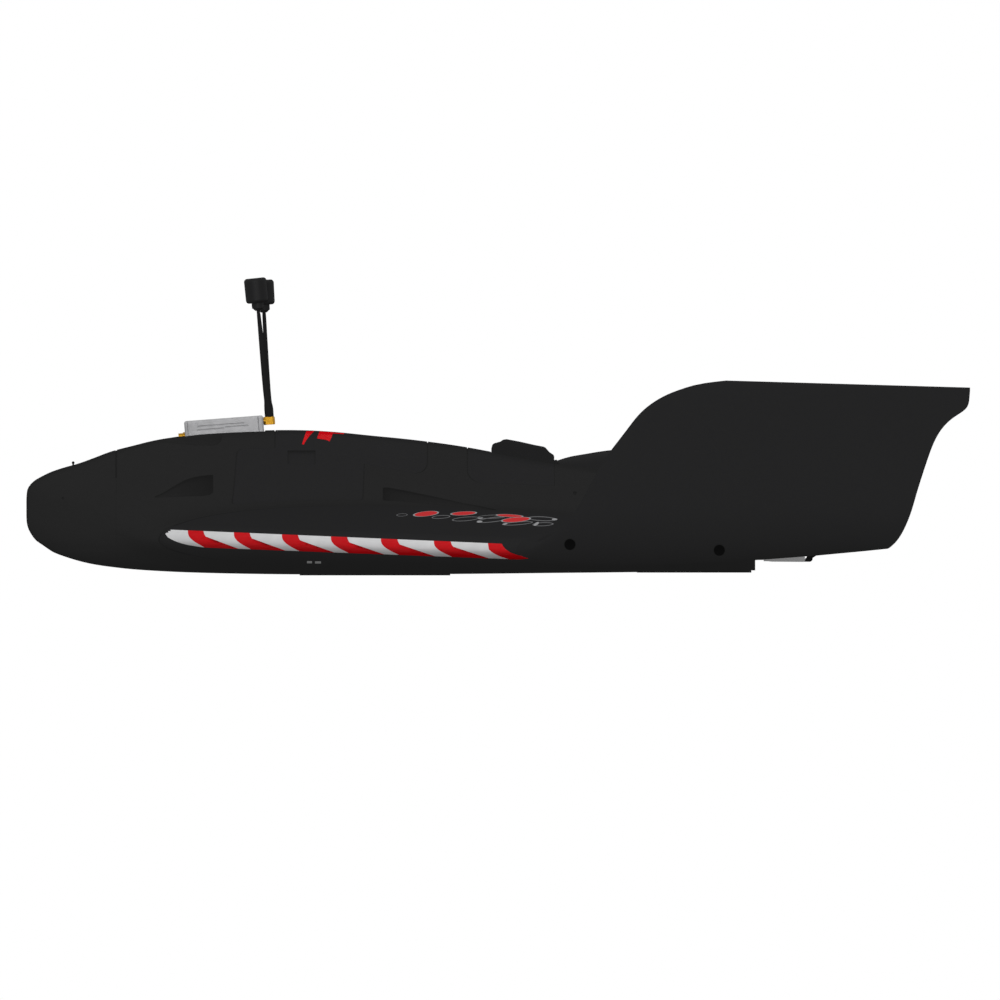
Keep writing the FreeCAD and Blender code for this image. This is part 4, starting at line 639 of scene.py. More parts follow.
cut_horn = hprism("c9", [(3.0, -12), (19.8, -12), (19.8, -3.4), (3.0, -3.4)], -0.8, 0.8, P_HINGE)
hinge_cut = []
for y in (150.0, 285.0, 420.0):
    o = hinge_at(y)
    hinge_cut.append(hprism("ch", [(1.75 * math.cos(2 * math.pi * k / 24), 1.75 * math.sin(2 * math.pi * k / 24)) for k in range(24)], -5.3, 5.3, o))
boolean(elevon, hinge_cut + [cut_horn])
boolean(panel, hinge_cut)
drop([cut_notch, cut_elev, cut_rib, cut_pocket, cut_lug, cut_slot1, cut_slot2, blk, cut_horn] + hinge_cut)

# ------------------------------------------------------------------ winglet
WL = [  # phi, y, z, x_le, x_te, half thickness inside, outside, top slope
    (0, 462.0, 13.65, 60.0, 252.0, 12.6, 8.1, 0.0),
    (7, 469.0, 14.0, 65.0, 253.0, 11.4, 7.9, 0.0),
    (20, 476.5, 15.6, 70.5, 254.8, 9.6, 7.2, 0.0),
    (38, 483.6, 19.4, 77.0, 258.2, 7.6, 6.4, 0.0),
    (58, 489.2, 25.4, 84.0, 261.7, 5.9, 5.6, 0.0),
    (76, 492.4, 33.0, 90.4, 264.8, 5.0, 5.0, 0.0),
    (86, 493.6, 42.0, 95.8, 267.5, 4.6, 4.6, 0.0),
    (90, 494.0, 51.3, 100.9, 270.4, 4.4, 4.4, 0.0),
    (90, 494.2, 61.0, 106.6, 273.6, 4.2, 4.2, 0.0),
    (90, 494.4, 69.9, 113.2, 277.1, 4.0, 4.0, 0.0),
    (90, 494.6, 76.3, 118.1, 280.9, 3.8, 3.8, 0.001),
    (90, 494.7, 82.4, 122.9, 287.0, 3.6, 3.6, 0.003),
    (90, 494.8, 86.8, 127.4, 292.6, 3.5, 3.5, 0.006),
    (90, 494.9, 90.8, 133.0, 294.6, 3.35, 3.35, 0.010),
    (90, 495.0, 94.4, 140.0, 295.0, 3.2, 3.2, 0.015),
    (90, 495.0, 97.6, 149.0, 295.2, 3.0, 3.0, 0.021),
    (90, 495.0, 99.8, 159.0, 295.3, 2.7, 2.7, 0.026),
    (90, 495.0, 101.0, 169.0, 295.3, 2.2, 2.2, 0.029),
]
wl = np.array(WL)
wu = [0.0]
for a, b in zip(WL, WL[1:]):
    wu.append(wu[-1] + math.hypot(b[1] - a[1], b[2] - a[2]))
wfun = cubic(wu, wl)


def winglet_loop(st, ss, thin=1.0):
    phi, y, z, le, te, hi, ho, slope = st
    ph = math.radians(phi)
    nx, nz = -math.sin(ph), math.cos(ph)
    k0 = max(0.0, 1 - phi / 30.0)
    d0, d1 = TIP_LE_Z - 13.65, TIP_TE_Z - 13.65

    def pt(s, h):
        return (le + (te - le) * s, y + h * thin * nx, z + h * thin * nz + (d0 + (d1 - d0) * s) * k0 - slope * (te - le) * s)
    return [pt(s, hi * g(s) + TE_HALF * s) for s in reversed(ss)] + [pt(s, -ho * g(s) - TE_HALF * s) for s in ss[1:]]


SW = [0.5 * (1 - math.cos(math.pi * k / 76)) for k in range(77)]
us = list(np.linspace(0, wu[-1] - 1.4, 92))
loops = [winglet_loop(s, SW) for s in wfun(np.array(us))]
for q in (0.25, 0.5, 0.7, 0.85, 0.94, 0.985):
    st = wfun(np.array([wu[-1] - 1.4 + 1.4 * q]))[0]
    loops.append(winglet_loop(st, SW, math.sqrt(max(0.02, 1 - q * q))))
winglet = loft("skin_winglet_right", loops)
cuts = []
for x, z in ((88.0, 16.0), (165.4, 13.0)):
    cuts += [cyl_obj("cw", 3.1, (x, 474.0, z), (0, 1, 0), 40), cyl_obj("cw", 1.6, (x, 455.0, z), (0, 1, 0), 30)]
boolean(winglet, cuts)
boolean(panel, cuts)
drop(cuts)

# ------------------------------------------------------------------ centre body pieces


CENTRE = [(-64.5, 44.0), (14.0, 54.5)]
EAR = [(-84.0, 42.0), (-87.0, 76.0), (-19.6, 76.0), (-18.4, 42.0)]
REAR_LID = [(35.2, 56.5), (79.9, 51.0)]


def outline_pts(gx, gy, part):
    if part == "ear":
        p = EAR
        return [(p[0][0] - gx, p[0][1]), (p[1][0] - gx, p[1][1] + gy), (p[2][0] + gx, p[2][1] + gy), (p[3][0] + gx, p[3][1])]
    (x0, y0), (x1, y1) = CENTRE if part == "centre" else REAR_LID
    ga = gx if part == "centre" or gx < 0 else 0.25 * gx
    return [(x0 - gx, -y0 - gy), (x1 + ga, -y1 - gy), (x1 + ga, y1 + gy), (x0 - gx, y0 + gy)]


def rounded(pts, r, n=6):
    """Round the corners of a closed 2-D polygon with radius r, or one radius per corner."""
    out = []
    m = len(pts)
    rs = r if isinstance(r, (list, tuple)) else [r] * m
    for i in range(m):
        p0, p1, p2 = Vector(pts[i - 1]), Vector(pts[i]), Vector(pts[(i + 1) % m])
        if rs[i] <= 0:
            out.append(tuple(p1))
            continue
        a, b = (p0 - p1), (p2 - p1)
        la, lb = a.length, b.length
        a.normalize()
        b.normalize()
        ang = a.angle(b)
        t = min(rs[i] / math.tan(ang / 2), la * 0.45, lb * 0.45)
        rr = t * math.tan(ang / 2)
        c = p1 + (a + b).normalized() * (rr / math.sin(ang / 2))
        s, e = p1 + a * t - c, p1 + b * t - c
        for k in range(n + 1):
            w = k / n
            v = s.lerp(e, w).normalized() * rr
            out.append(tuple(c + v))
    return out


def column(points, z0, radii):
    return prism_obj("hb", [(x, y, z0) for x, y in rounded(points, radii, 8)], (0, 0, 110 - z0))


def hatch_block(gx, gy, zc=48.0, ze=33.6):
    c = column(outline_pts(gx, gy, "centre"), zc, (0, 7.0, 7.0, 0))
    e1 = column(outline_pts(gx, gy, "ear"), ze, 3.0)
    e2 = mirrored(e1, "hb2")
    boolean(c, [e1, e2], "UNION")
    drop([e1, e2])
    return c


def rear_block(gx, gy, z0=46.0):
    return column(outline_pts(gx, gy, "rear"), z0, (7.0, 0, 0, 7.0))


def moved_body(dx, dy, dz):
    c = copy_obj(body, "mv")
    for v in c.data.vertices:
        v.co += Vector((dx, dy, dz)) * MM
    return c


def rebate(space, core):
    """The band of the hatch opening that lies within the ledge width of its edge."""
    ring = copy_obj(space, "ring")
    boolean(ring, core)
    drop([core])
    return ring


# each lid lies on a ledge: the body keeps material under the rim, the rim is thinned to match
under, rim_under = moved_body(0, 0, -LEDGE_D), moved_body(0, 0, -LEDGE_D + 0.06)
space = hatch_block(GAP, GAP_Y, 47.75, 33.35)
rspace = rear_block(GAP, GAP_Y, 45.75)
main_ring = rebate(space, hatch_block(-LEDGE_W, -LEDGE_W, 20.0, 20.0))
rear_ring = rebate(rspace, rear_block(-LEDGE_W, -LEDGE_W, 20.0))
lid = copy_obj(body, "skin_main_hatch")
rear = copy_obj(body, "skin_rear_hatch")
for piece, blk, ring_o in ((lid, hatch_block(0.0, 0.0), main_ring), (rear, rear_block(0.0, 0.0), rear_ring)):
    boolean(piece, blk, "INTERSECT")
    rim = copy_obj(ring_o, "rim")
    boolean(rim, rim_under, "INTERSECT")
    boolean(piece, rim)
    drop([blk, rim])
for sgn in (1, -1):
    y0, y1 = (36.0, 62.0) if sgn > 0 else (-62.0, -36.0)
    pocket = box_obj("c", -58.2, -43.8, y0, y1, 57.6, 64.6)
    floor_of = moved_body(0, -1.1 * sgn, -0.7)
    boolean(pocket, floor_of)
    boolean(lid, pocket)
    drop([pocket, floor_of])
cut = [cyl_obj("c", 4.05, (0, y, 47.0), (0, 0, 1), 3.05) for y in (-36, 36)]
boolean(lid, cut)
drop(cut)
for sp, ring_o in ((space, main_ring), (rspace, rear_ring)):
    boolean(ring_o, under, "INTERSECT")
    boolean(sp, ring_o)
    drop([ring_o])
drop([under, rim_under])
PH = 17.0
cut = [prism_obj("c", [(x, -PH - 0.3, z) for x, z in ((47.0, 61.8), (47.0, 90), (80.1, 90), (80.1, 55.4), (76.3, 55.4), (76.3, 57.3), (62.2, 58.6))], (0, 2 * PH + 0.6, 0)),
       prism_obj("c", [(x, -PH + 2.1, z) for x, z in ((51.0, 57.6), (76.9, 53.6), (76.9, 70), (51.0, 70))], (0, 2 * PH - 4.2, 0))]
boolean(rear, cut)
drop(cut)


def smooth_duct(name, stations, n=14):
    """Loft of rounded rectangles: each station is x, y inner, y outer, z low, z high, corner radius."""
    loops = []
    for x, yi, yo, z0, z1, r in stations:
        r = min(r, abs(z1 - z0) * 0.49, abs(yo - yi) * 0.49)
        p = rounded([(yi, z0), (yo, z0), (yo, z1), (yi, z1)], r, 5)
        loops.append([(x, y, z) for y, z in p])
    return loft(name, loops, smooth=False)


# side inlets: a ramp that deepens towards a square rear edge
inlet = smooth_duct("c", [(-126.9, 58.0, 90, 40.2, 40.8, 0.2), (-124.3, 57.5, 90, 40.4, 41.9, 0.5), (-121.7, 57.0, 90, 40.5, 43.3, 0.8), (-119.1, 56.0, 90, 40.6, 44.9, 1.2),
                          (-116.6, 55.0, 90, 40.7, 46.4, 1.5), (-114.0, 53.5, 90, 40.8, 47.9, 1.8), (-111.4, 52.0, 90, 40.9, 49.2, 2.0), (-108.8, 50.3, 90, 41.0, 50.2, 2.2),
                          (-106.2, 48.6, 90, 41.0, 50.9, 2.4), (-103.6, 47.0, 90, 41.1, 51.4, 2.4), (-101.0, 45.3, 90, 41.3, 51.7, 2.4), (-98.2, 43.6, 90, 41.8, 52.0, 2.4),
                          (-96.8, 42.8, 90, 43.2, 52.0, 1.6)])
# deck inlets beside the transmitter case
deck = smooth_duct("c", [(-121.7, 21.0, 40.5, 69.2, 90, 2.0), (-118, 21.2, 41.0, 68.6, 90, 2.0), (-112, 21.6, 41.6, 67.9, 90, 2.0), (-105, 22.2, 42.0, 67.4, 90, 2.0),
                         (-98, 23.0, 42.0, 67.2, 90, 2.2), (-94.6, 24.0, 41.6, 67.8, 90, 2.4), (-92.8, 25.4, 40.6, 69.4, 90, 2.0), (-92.2, 27.0, 39.2, 71.4, 90, 1.6)])
# side outlets: square front edge that fades out aft
outlet = smooth_duct("c", [(-8.9, 57.0, 100, 38.9, 45.4, 0.8), (-6, 58.2, 100, 38.7, 45.4, 1.1), (2, 61.4, 100, 38.2, 44.0, 1.2), (12, 65.4, 100, 37.3, 41.9, 1.2),
                           (24, 70.2, 100, 36.1, 39.4, 1.0), (36, 75.0, 100, 34.8, 36.9, 0.8), (44, 78.2, 100, 34.1, 35.3, 0.5), (50, 80.6, 100, 33.6, 34.1, 0.2)])
ducts = [inlet, mirrored(inlet, "c"), deck, mirrored(deck, "c"), outlet, mirrored(outlet, "c")]

VTX_X0, VTX_X1, VTX_W, VTX_H, VTX_TILT = -111.9, -71.0, 37.0, 14.0, 4.3
VL = (VTX_X1 - VTX_X0) / math.cos(math.radians(VTX_TILT))
VM = Matrix.Translation((VTX_X0, 0, 79.9)) @ Matrix.Rotation(math.radians(-VTX_TILT), 4, "Y")


def vbox(name, x0, x1, y0, y1, z0, z1):
    o = box_obj(name, x0, x1, y0, y1, z0, z1)
    for v in o.data.vertices:
        v.co = (VM @ (v.co * 1000)) * MM
    return o


fus = copy_obj(body, "skin_fuselage")
keep = box_obj("c", NOSE_JOINT_X - 0.01, TAIL_X + 1, -JOINT_Y + 2.6, JOINT_Y - 2.6, -10, 90)
boolean(fus, keep, "INTERSECT")
drop([keep])
bay = prism_obj("c", [(x, y, 8) for x, y in rounded([(-125, -33), (25, -33), (25, 33), (-125, 33)], 4)], (0, 0, 44))
rbay = prism_obj("c", [(x, y, 14) for x, y in rounded([(39, -24), (75, -24), (75, 24), (39, 24)], 3)], (0, 0, 36))
vh = VTX_W / 2
cutters = [bay, rbay, space, rspace, vbox("c", -0.5, VL + 0.5, -vh - 0.5, vh + 0.5, -VTX_H - 0.2, 12), vbox("c", -5.0, 1.0, -15, -9, -10.0, 8),
           vbox("c", VL - 1, VL + 8.2, -16, 16, -5.2, 8), box_obj("c", 74, 200, -8, 8, 42, 58), box_obj("c", 70, 90, -8, 8, 24, 50),
           box_obj("c", 181, 190, -12, 12, 34, 62), box_obj("c", -64, -36, 60, 92.41, 13, 32.4), box_obj("c", -64, -36, -92.41, -60, 13, 32.4),
           box_obj("c", -52.2, 26.2, -21.2, 21.2, -2, 1.6), box_obj("c", 122.5, 182.2, -15.2, 15.2, -2, 3.1),
           cyl_obj("c", 4.05, (30, -120, 18), (0, 1, 0), 240), cyl_obj("c", 3.05, (110, -120, 17), (0, 1, 0), 240)]
CP = [(80.5, 59.2), (86, 61.0), (91.5, 62.2), (97.5, 63.2), (103.6, 64.2), (110, 65.0), (124, 66.0), (150, 66.4), (176, 65.6), (184, 64.8)]


def cowl_half(x, extra=0.0):
    return 10.0 + extra + 8.0 * max(0.0, min(1.0, (x - 80.5) / 40.0)) ** 0.7


def cowl_loop(x, z, hw, base, n=40, lo=None):
    pts = []
    for k in range(n + 1):
        a = math.pi * k / n
        c, s = math.cos(a), math.sin(a)
        pts.append((x, hw * math.copysign(abs(c) ** 0.75, c), base + (z - base) * abs(s) ** 0.62))
    if lo is not None:
        pts = [(p[0], p[1], max(p[2], lo)) for p in pts]
    return pts


czf = cubic([c[0] for c in CP], [c[1] for c in CP])
cxs = [80.2 + (184.5 - 80.2) * (k / 60) for k in range(61)]
crec = loft("c", [cowl_loop(x, float(czf([x])[0]) + 0.3, cowl_half(x, 0.3), 39.7) for x in cxs])
cutters.append(crec)
boolean(fus, cutters + ducts)
drop(cutters)
drop(ducts)
# shallow parting groove over the crown and shoulders of the nose joint
grooves = []
for sgn in (-1, 1):
    inner_skin = moved_body(0, -1.1 * sgn, -0.3)
    gr = box_obj("c", NOSE_JOINT_X - 0.4, NOSE_JOINT_X + 0.4, min(0, 70 * sgn), max(0, 70 * sgn), 50.5, 80)
    boolean(gr, inner_skin)
    drop([inner_skin])
    grooves.append(gr)
for sgn in (-1, 1):
    inner_skin = moved_body(0, -1.6 * sgn, 0)
    dm = cyl_obj("c", 1.0, (90.6, 20 * sgn, 42.5), (0, sgn, 0), 70, 24)
    boolean(dm, inner_skin)
    boolean(fus, dm)
    drop([inner_skin, dm])
boolean(fus, grooves)

nose = copy_obj(body, "skin_nose_cap")
keep = box_obj("c", NOSE_X - 2, NOSE_JOINT_X + 0.01, -90, 90, -10, 90)
boolean(nose, keep, "INTERSECT")
drop([keep])
ring = ((24, 18), (27, 30), (26, 42), (20, 50), (8, 53), (-8, 53), (-20, 50), (-26, 42), (-27, 30), (-24, 18), (-14, 13), (14, 13))


def ring_loop(x, k, kz, z0, n=48):
    p = [(y * k, z0 + (z - z0) * kz) for y, z in ring]
    p.append(p[0])
    f = cubic(range(len(p)), p)
    return [(x, q[0], q[1]) for q in f(np.linspace(0, len(p) - 1, n, endpoint=False))]


inner = loft("c", [ring_loop(*a) for a in ((-189.5, 0.62, 0.50, 34.0), (-182, 0.86, 0.72, 33.0), (-172, 1.15, 0.88, 33.0), (-160, 1.42, 1.0, 33.0), (-146, 1.6, 1.08, 33.0))])
win = prism_obj("c", [(-200, y, z) for y, z in rounded([(-11.5, 22.5), (11.5, 22.5), (11.5, 47.0), (-11.5, 47.0)], 4.0, 8)], (20, 0, 0))
dimples = []
for sgn in (-1, 1):
    inner_skin = moved_body(0, -1.0 * sgn, 0)
    dm = cyl_obj("c", 0.62, (-174.6, 0, 39.9), (0, sgn, 0), 80, 24)
    boolean(dm, inner_skin)
    drop([inner_skin])
    dimples.append(dm)
boolean(nose, [inner, win] + dimples + grooves)
drop([inner, win] + dimples + grooves)
# small ball-ended peg on the crown of the nose
peg_prof = [(0.45, -3.0), (0.45, -0.62), (0.56, -0.5), (0.68, -0.3), (0.75, 0.0), (0.68, 0.32), (0.52, 0.54), (0.3, 0.69), (0.02, 0.75)]
peg = loft("c", [[(-169.3 + r * math.cos(2 * math.pi * k / 20), r * math.sin(2 * math.pi * k / 20), 58.35 + z) for k in range(20)] for r, z in peg_prof])
boolean(nose, peg, "UNION")
drop([peg])

# soft seal strip standing between the rear hatch and the cowl
seal_sec = rounded([(79.86, 55.5), (81.4, 55.5), (81.4, 60.0), (79.86, 59.8)], (0, 0, 0.3, 0.35), 4)
seal = prism_obj("cowl_seal", [(x, -9.7, z) for x, z in seal_sec], (0, 19.4, 0))
smooth_by_angle(seal, 34)

# skins get sharp edges by angle, their materials and their left-hand mirrors
for o in (panel, elevon, winglet, lid, rear, fus, nose):
    smooth_by_angle(o, 34)
for o, m in ((panel, FOAM_WING), (elevon, FOAM_WING), (winglet, FOAM_FIN_SHADED), (lid, FOAM_TOP), (rear, FOAM_TOP), (fus, FOAM), (nose, FOAM)):
    set_mat(o, m)
panel_l, elevon_l, winglet_l = mirrored(panel, "skin_wing_left"), mirrored(elevon, "skin_elevon_left"), mirrored(winglet, "skin_winglet_left")
for o, body_name, node in ((panel, "wing_right", "wing_panel_right"), (panel_l, "wing_left", "wing_panel_left"), (elevon, "elevon_flap_right", "elevon_right"),
                           (elevon_l, "elevon_flap_left", "elevon_left"), (winglet, "wing_right", "winglet_right"), (winglet_l, "wing_left", "winglet_left"),
                           (lid, "main_hatch_lid", "main_hatch"), (rear, "rear_hatch_lid", "rear_hatch"), (fus, "airframe", "fuselage_shell"), (nose, "airframe", "nose_cap")):
    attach(o, body_name)
    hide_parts(node)
    print(o.name, len(o.data.vertices), len(o.data.polygons))
set_mat(seal, FOAM_TOP)
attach(seal, "airframe")

# ------------------------------------------------------------------ decals, laid on the skins from the side
def bvh_of(objs):
    vs, fs = [], []
    for o in objs:
        n = len(vs)
        vs += [tuple(v.co) for v in o.data.vertices]
        fs += [tuple(n + i for i in p.vertices) for p in o.data.polygons]
    return BVHTree.FromPolygons(vs, fs)


def px(x, y):
    """Side-view drawing units to millimetres in the X-Z plane."""
    return ((x - 400.0) * 0.518, (575.0 - y) * 0.518)


def decal(name, polys, bvh, mat, body_name, lift=0.05, side=-1, step=1.2, thick=0.04):
    """Fine grid of each (x, z) outline, dropped along Y on to the skin and lifted by lift mm."""
    bm = bmesh.new()
    for poly in polys:
        vs = [bm.verts.new((x * MM, 0, z * MM)) for x, z in poly]
        bm.faces.new(vs)
    bmesh.ops.triangulate(bm, faces=bm.faces)
    xs = [v.co.x for v in bm.verts]
    zs = [v.co.z for v in bm.verts]
    for axis, lo, hi in ((0, min(xs), max(xs)), (2, min(zs), max(zs))):
        st = (step if axis == 0 else 0.45) * MM
        q = math.ceil(lo / st) * st
        while q < hi:
            co = (q, 0, 0) if axis == 0 else (0, 0, q)
            no = (1, 0, 0) if axis == 0 else (0, 0, 1)
            bmesh.ops.bisect_plane(bm, geom=bm.verts[:] + bm.edges[:] + bm.faces[:], plane_co=co, plane_no=no, dist=1e-8)
            q += st
    bad = []
    for v in bm.verts:
        hit = bvh.ray_cast(Vector((v.co.x, side * 0.8, v.co.z)), Vector((0, -side, 0)))
        if hit[0] is None:
            bad.append(v)
            continue
        n = hit[1]
        if n.y * side < 0:
            n = -n
        v.co = hit[0] + n * lift * MM
    bmesh.ops.delete(bm, geom=bad, context="VERTS")
    long = [e for e in bm.edges if abs(e.verts[0].co.y - e.verts[1].co.y) > 0.05]
    bmesh.ops.delete(bm, geom=long, context="EDGES")
    bmesh.ops.recalc_face_normals(bm, faces=bm.faces)
    tot = sum(f.normal.y * f.calc_area() for f in bm.faces)
    if tot * side < 0:
        bmesh.ops.reverse_faces(bm, faces=bm.faces)
    for f in bm.faces:
        f.smooth = True
    me = bpy.data.meshes.new(name)
    bm.to_mesh(me)
    bm.free()
    o = bpy.data.objects.new(name, me)
    COLL.objects.link(o)
    me.materials.append(mat)
    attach(o, body_name)
    return o


def band_top(x):
    return 529.0 + (x - 163.0) * (543.3 - 529.0) / (500.0 - 163.0)


def band_bot(x):
    return 547.0 + (x - 205.0) * (558.6 - 547.0) / (510.0 - 205.0)


dl = cubic([0, 0.25, 0.5, 0.75, 1.0], [0.0, 0.4, 3.2, 9.5, 18.0])
dr = cubic([0, 0.25, 0.5, 0.75, 0.9, 1.0], [16.5, 18.0, 22.5, 32.5, 43.0, 54.0])
band = [(163, 529)] + [(x, band_top(x)) for x in range(175, 500, 12)] + [(500, 543.3), (506, 549), (513, 555), (520, 558.8), (510, 558.6)]
band += [(x, band_bot(x)) for x in range(498, 206, -12)] + [(205, 547), (197, 546), (191, 545), (183, 543.3), (176, 541), (171.5, 539), (168, 537), (165, 533)]
stripes = []
for x0 in (188, 234, 282, 331, 381, 434):
    L, R = [], []
    w = 0.94 + 0.08 * (x0 - 188) / 246.0
    for k in range(13):
        t = k / 12
        xl, xr = x0 + float(dl([t])[0]) * w, x0 + float(dr([t])[0]) * w
        L.append((xl, band_top(xl) + t * (band_bot(xl) - band_top(xl))))
        R.append((xr, band_top(xr) + t * (band_bot(xr) - band_top(xr))))
    stripes.append(L + list(reversed(R)))
stripes.append([(488, 542.8), (488.3, 545), (489, 549), (492, 551.6), (496, 554), (502, 556.6), (510, 558.9), (520, 558.8), (536, 557.4), (526, 556.2), (518, 554.6),
                (511, 552.2), (506, 549), (503, 545.6), (502, 543.4)])


def lens(cx, cy, rx, ry, tilt=0.0, n=36):
    """Slanted oval: tilt is the rise per unit length along it."""
    return [(cx + rx * math.cos(2 * math.pi * k / n), cy + ry * math.sin(2 * math.pi * k / n) + tilt * rx * math.cos(2 * math.pi * k / n)) for k in range(n)]


def lens_ring(cx, cy, rx, ry, tilt, w, a0=0, a1=360, n=40):
    out = []
    for k in range(int(n * a0 / 360), int(n * a1 / 360)):
        a, b = 2 * math.pi * k / n, 2 * math.pi * (k + 1) / n
        q = []
        for (t, s) in ((a, 1), (b, 1), (b, 0), (a, 0)):
            r1, r2 = rx - (0 if s else w * 1.5), ry - (0 if s else w * 0.6)
            q.append((cx + r1 * math.cos(t), cy + r2 * math.sin(t) + tilt * r1 * math.cos(t)))
        out.append(q)
    return out


for side, tag, wing_o, wing_b in ((-1, "left", panel_l, "wing_left"), (1, "right", panel, "wing_right")):
    bv = bvh_of([wing_o])
    to = lambda polys: [[px(*p) for p in q] for q in polys]
    decal("decal_band_" + tag, to([band]), bv, WHITE, wing_b, 0.05, side)
    decal("decal_stripes_" + tag, to(stripes), bv, RED, wing_b, 0.09, side)
    ovals = ((426, 513.5, 11.4, 2.3, -0.10), (463.7, 513.1, 11.8, 1.7, -0.05), (509.5, 515.4, 12.4, 1.2, 0.05), (516.0, 519.4, 13.4, 2.2, -0.08))
    decal("decal_ovals_white_" + tag, to([lens(cx, cy, rx + 1.7, ry + 0.22, ti) for cx, cy, rx, ry, ti in ovals]
          + [lens(479.6, 521.4, 2.8, 0.9, -0.1), lens(480.5, 517.9, 2.6, 0.6, -0.1), lens(505.0, 523.6, 2.6, 0.8, -0.2), lens(536.4, 523.6, 2.6, 1.4, -0.5),
             lens(554.6, 519.0, 2.8, 0.9, 0.0)]), bv, OVAL_WHITE, wing_b, 0.07, side, 0.8)
    decal("decal_ovals_red_" + tag, to([lens(*o_) for o_ in ovals]), bv, OVAL_RED, wing_b, 0.10, side, 0.8)
    decal("decal_ovals_grey_" + tag, to(lens_ring(441, 516.6, 9.4, 1.7, -0.06, 0.8) + lens_ring(465.5, 518.6, 13.6, 2.1, -0.08, 0.9)
          + lens_ring(494, 519.2, 17.4, 2.5, -0.12, 1.1) + lens_ring(492, 516.4, 14.0, 1.9, -0.03, 0.8) + lens_ring(518, 523.0, 15.0, 1.7, -0.08, 1.0)
          + lens_ring(542, 518.4, 14.6, 2.3, 0.05, 1.2) + lens_ring(543, 523.9, 10.6, 1.9, -0.04, 1.0) + lens_ring(402, 514.6, 5.6, 1.4, -0.05, 0.5)), bv, GREY, wing_b, 0.05, side, 0.8)
    lb = bvh_of([lid])
    decal("decal_slashes_" + tag, to([[(307, 429.8), (314.8, 430.3), (311, 433.5), (308, 437.5), (305.5, 441), (303.8, 444.2), (302, 443.8), (303.5, 439), (305, 434.5), (306, 432)],
          [(319.5, 430.8), (333.2, 431.8), (331.5, 437), (329.5, 441), (327.5, 440), (325, 438.6), (321, 438.8), (316.8, 438), (318, 435)],
          [(333.0, 432.0), (344, 432.6), (344, 433.8), (332.8, 433.1)]]), lb, RED, "main_hatch_lid", 0.05, side, 0.8)
    decal("decal_marks_" + tag, to([[(307, 560.6), (312, 560.6), (312, 562.8), (307, 562.8)], [(315, 560.9), (321, 560.9), (321, 563.0), (315, 563.0)]]), bv, MARK, wing_b, 0.05, side, 0.8)

# ------------------------------------------------------------------ materials for the carried-over parts
ALU_CASE = mat_metal("case_aluminium", (188, 188, 190), 0.5, None, 0.0, 0.25, 0.006, 0.2, metal=0.25)
GOLD = mat_metal("gold_plate", (196, 144, 14), 0.34, None, 0.0, 0.12, 0.004, 0.15, metal=0.6)
STEEL = mat_metal("steel_ground", (176, 176, 178), 0.28, (0.6, 9, 9), 0.3, 0.1, 0.006, 0.25)
STEEL_DARK = mat_metal("steel_black_oxide", (60, 60, 62), 0.38, None, 0.0, 0.15, 0.006, 0.3)
LAMINATE = mat_metal("stator_laminate", (120, 116, 112), 0.4, (6.0, 0.4, 0.4), 0.2, 0.1, 0.02, 0.4)
COPPER = mat_metal("copper_enamel", (176, 92, 44), 0.3, None, 0.0, 0.05, 0.004, 0.2)
CAN = mat_metal("can_anodised", (44, 44, 48), 0.33, (9, 0.7, 0.7), 0.2, 0.2, 0.006, 0.3)
ALU_NUT = mat_metal("nut_aluminium", (196, 196, 200), 0.25, (9, 0.7, 0.7), 0.3, 0.15, 0.006, 0.2)
NICKEL = mat_metal("magnet_nickel", (196, 196, 192), 0.18, None, 0.0, 0.2, 0.003, 0.2)
# painted light: the pale clevis glows strongly so it stays bright in the shade under the wing
ROD = mat_plastic("clevis_pale_nylon", (196, 196, 198), 0.45, 0.01, 4.0, bevel=0.1, spec=0.3, glow=0.17)
# black screw heads; their near-black colour is partly their own and partly painted shade for the deep bores they sit in
BLACK_SCREW_AND_SHADE = mat_plastic("screw_black_and_bore_shade", (5, 5, 5), 0.7, 0.01, 4.0, bevel=0.1, wear=0.0, spec=0.02)
# painted fill light: the cover glows faintly so its shaded sides stay lifted
COVER = mat_plastic("cover_black", (10, 10, 11), 0.5, 0.03, 2.2, bevel=0.4, spec=0.05, glow=0.0092)
NYLON = mat_plastic("nylon_black", (30, 30, 31), 0.5, 0.02, 3.0, bevel=0.15)
SERVO = mat_plastic("servo_case_plastic", (28, 33, 48), 0.35, 0.012, 4.0, bevel=0.25, coat=0.1)
PROP = mat_plastic("prop_nylon", (26, 26, 27), 0.34, 0.01, 4.0, bevel=0.1, coat=0.1, wear=0.3)
# painted fill light: the rubber glows faintly where it sits in shade
RUBBER = mat_plastic("rubber_black", (20, 20, 21), 0.68, 0.04, 4.0, bevel=0.15, wear=0.05, spec=0.08, glow=0.004)
CAMERA = mat_plastic("camera_case", (30, 30, 32), 0.4, 0.015, 4.0, bevel=0.2)
CARBON = mat_carbon("carbon_wrap")
STRAP = mat_fabric("strap_weave", (40, 40, 42), 0.8)


def mat_wood(name):
    k = Mat(name)
    grain = k.noise(1.0, 8, 0.62, k.scaled(0.05, 1.1, 1.1), 0.6)
    fig = k.noise(0.08, 3, 0.5)
    col = k.ramp(k.math("ADD", k.math("MULTIPLY", grain, 0.7), k.math("MULTIPLY", fig, 0.3)),
                 [(0.25, rgb(164, 124, 78)), (0.5, rgb(206, 168, 116)), (0.75, rgb(226, 194, 146))])
    nrm = k.bump(grain, 0.06, 0.6, k.bevel(0.2))
    return k.set(base=col, rough=0.72, spec=0.25, normal=nrm)


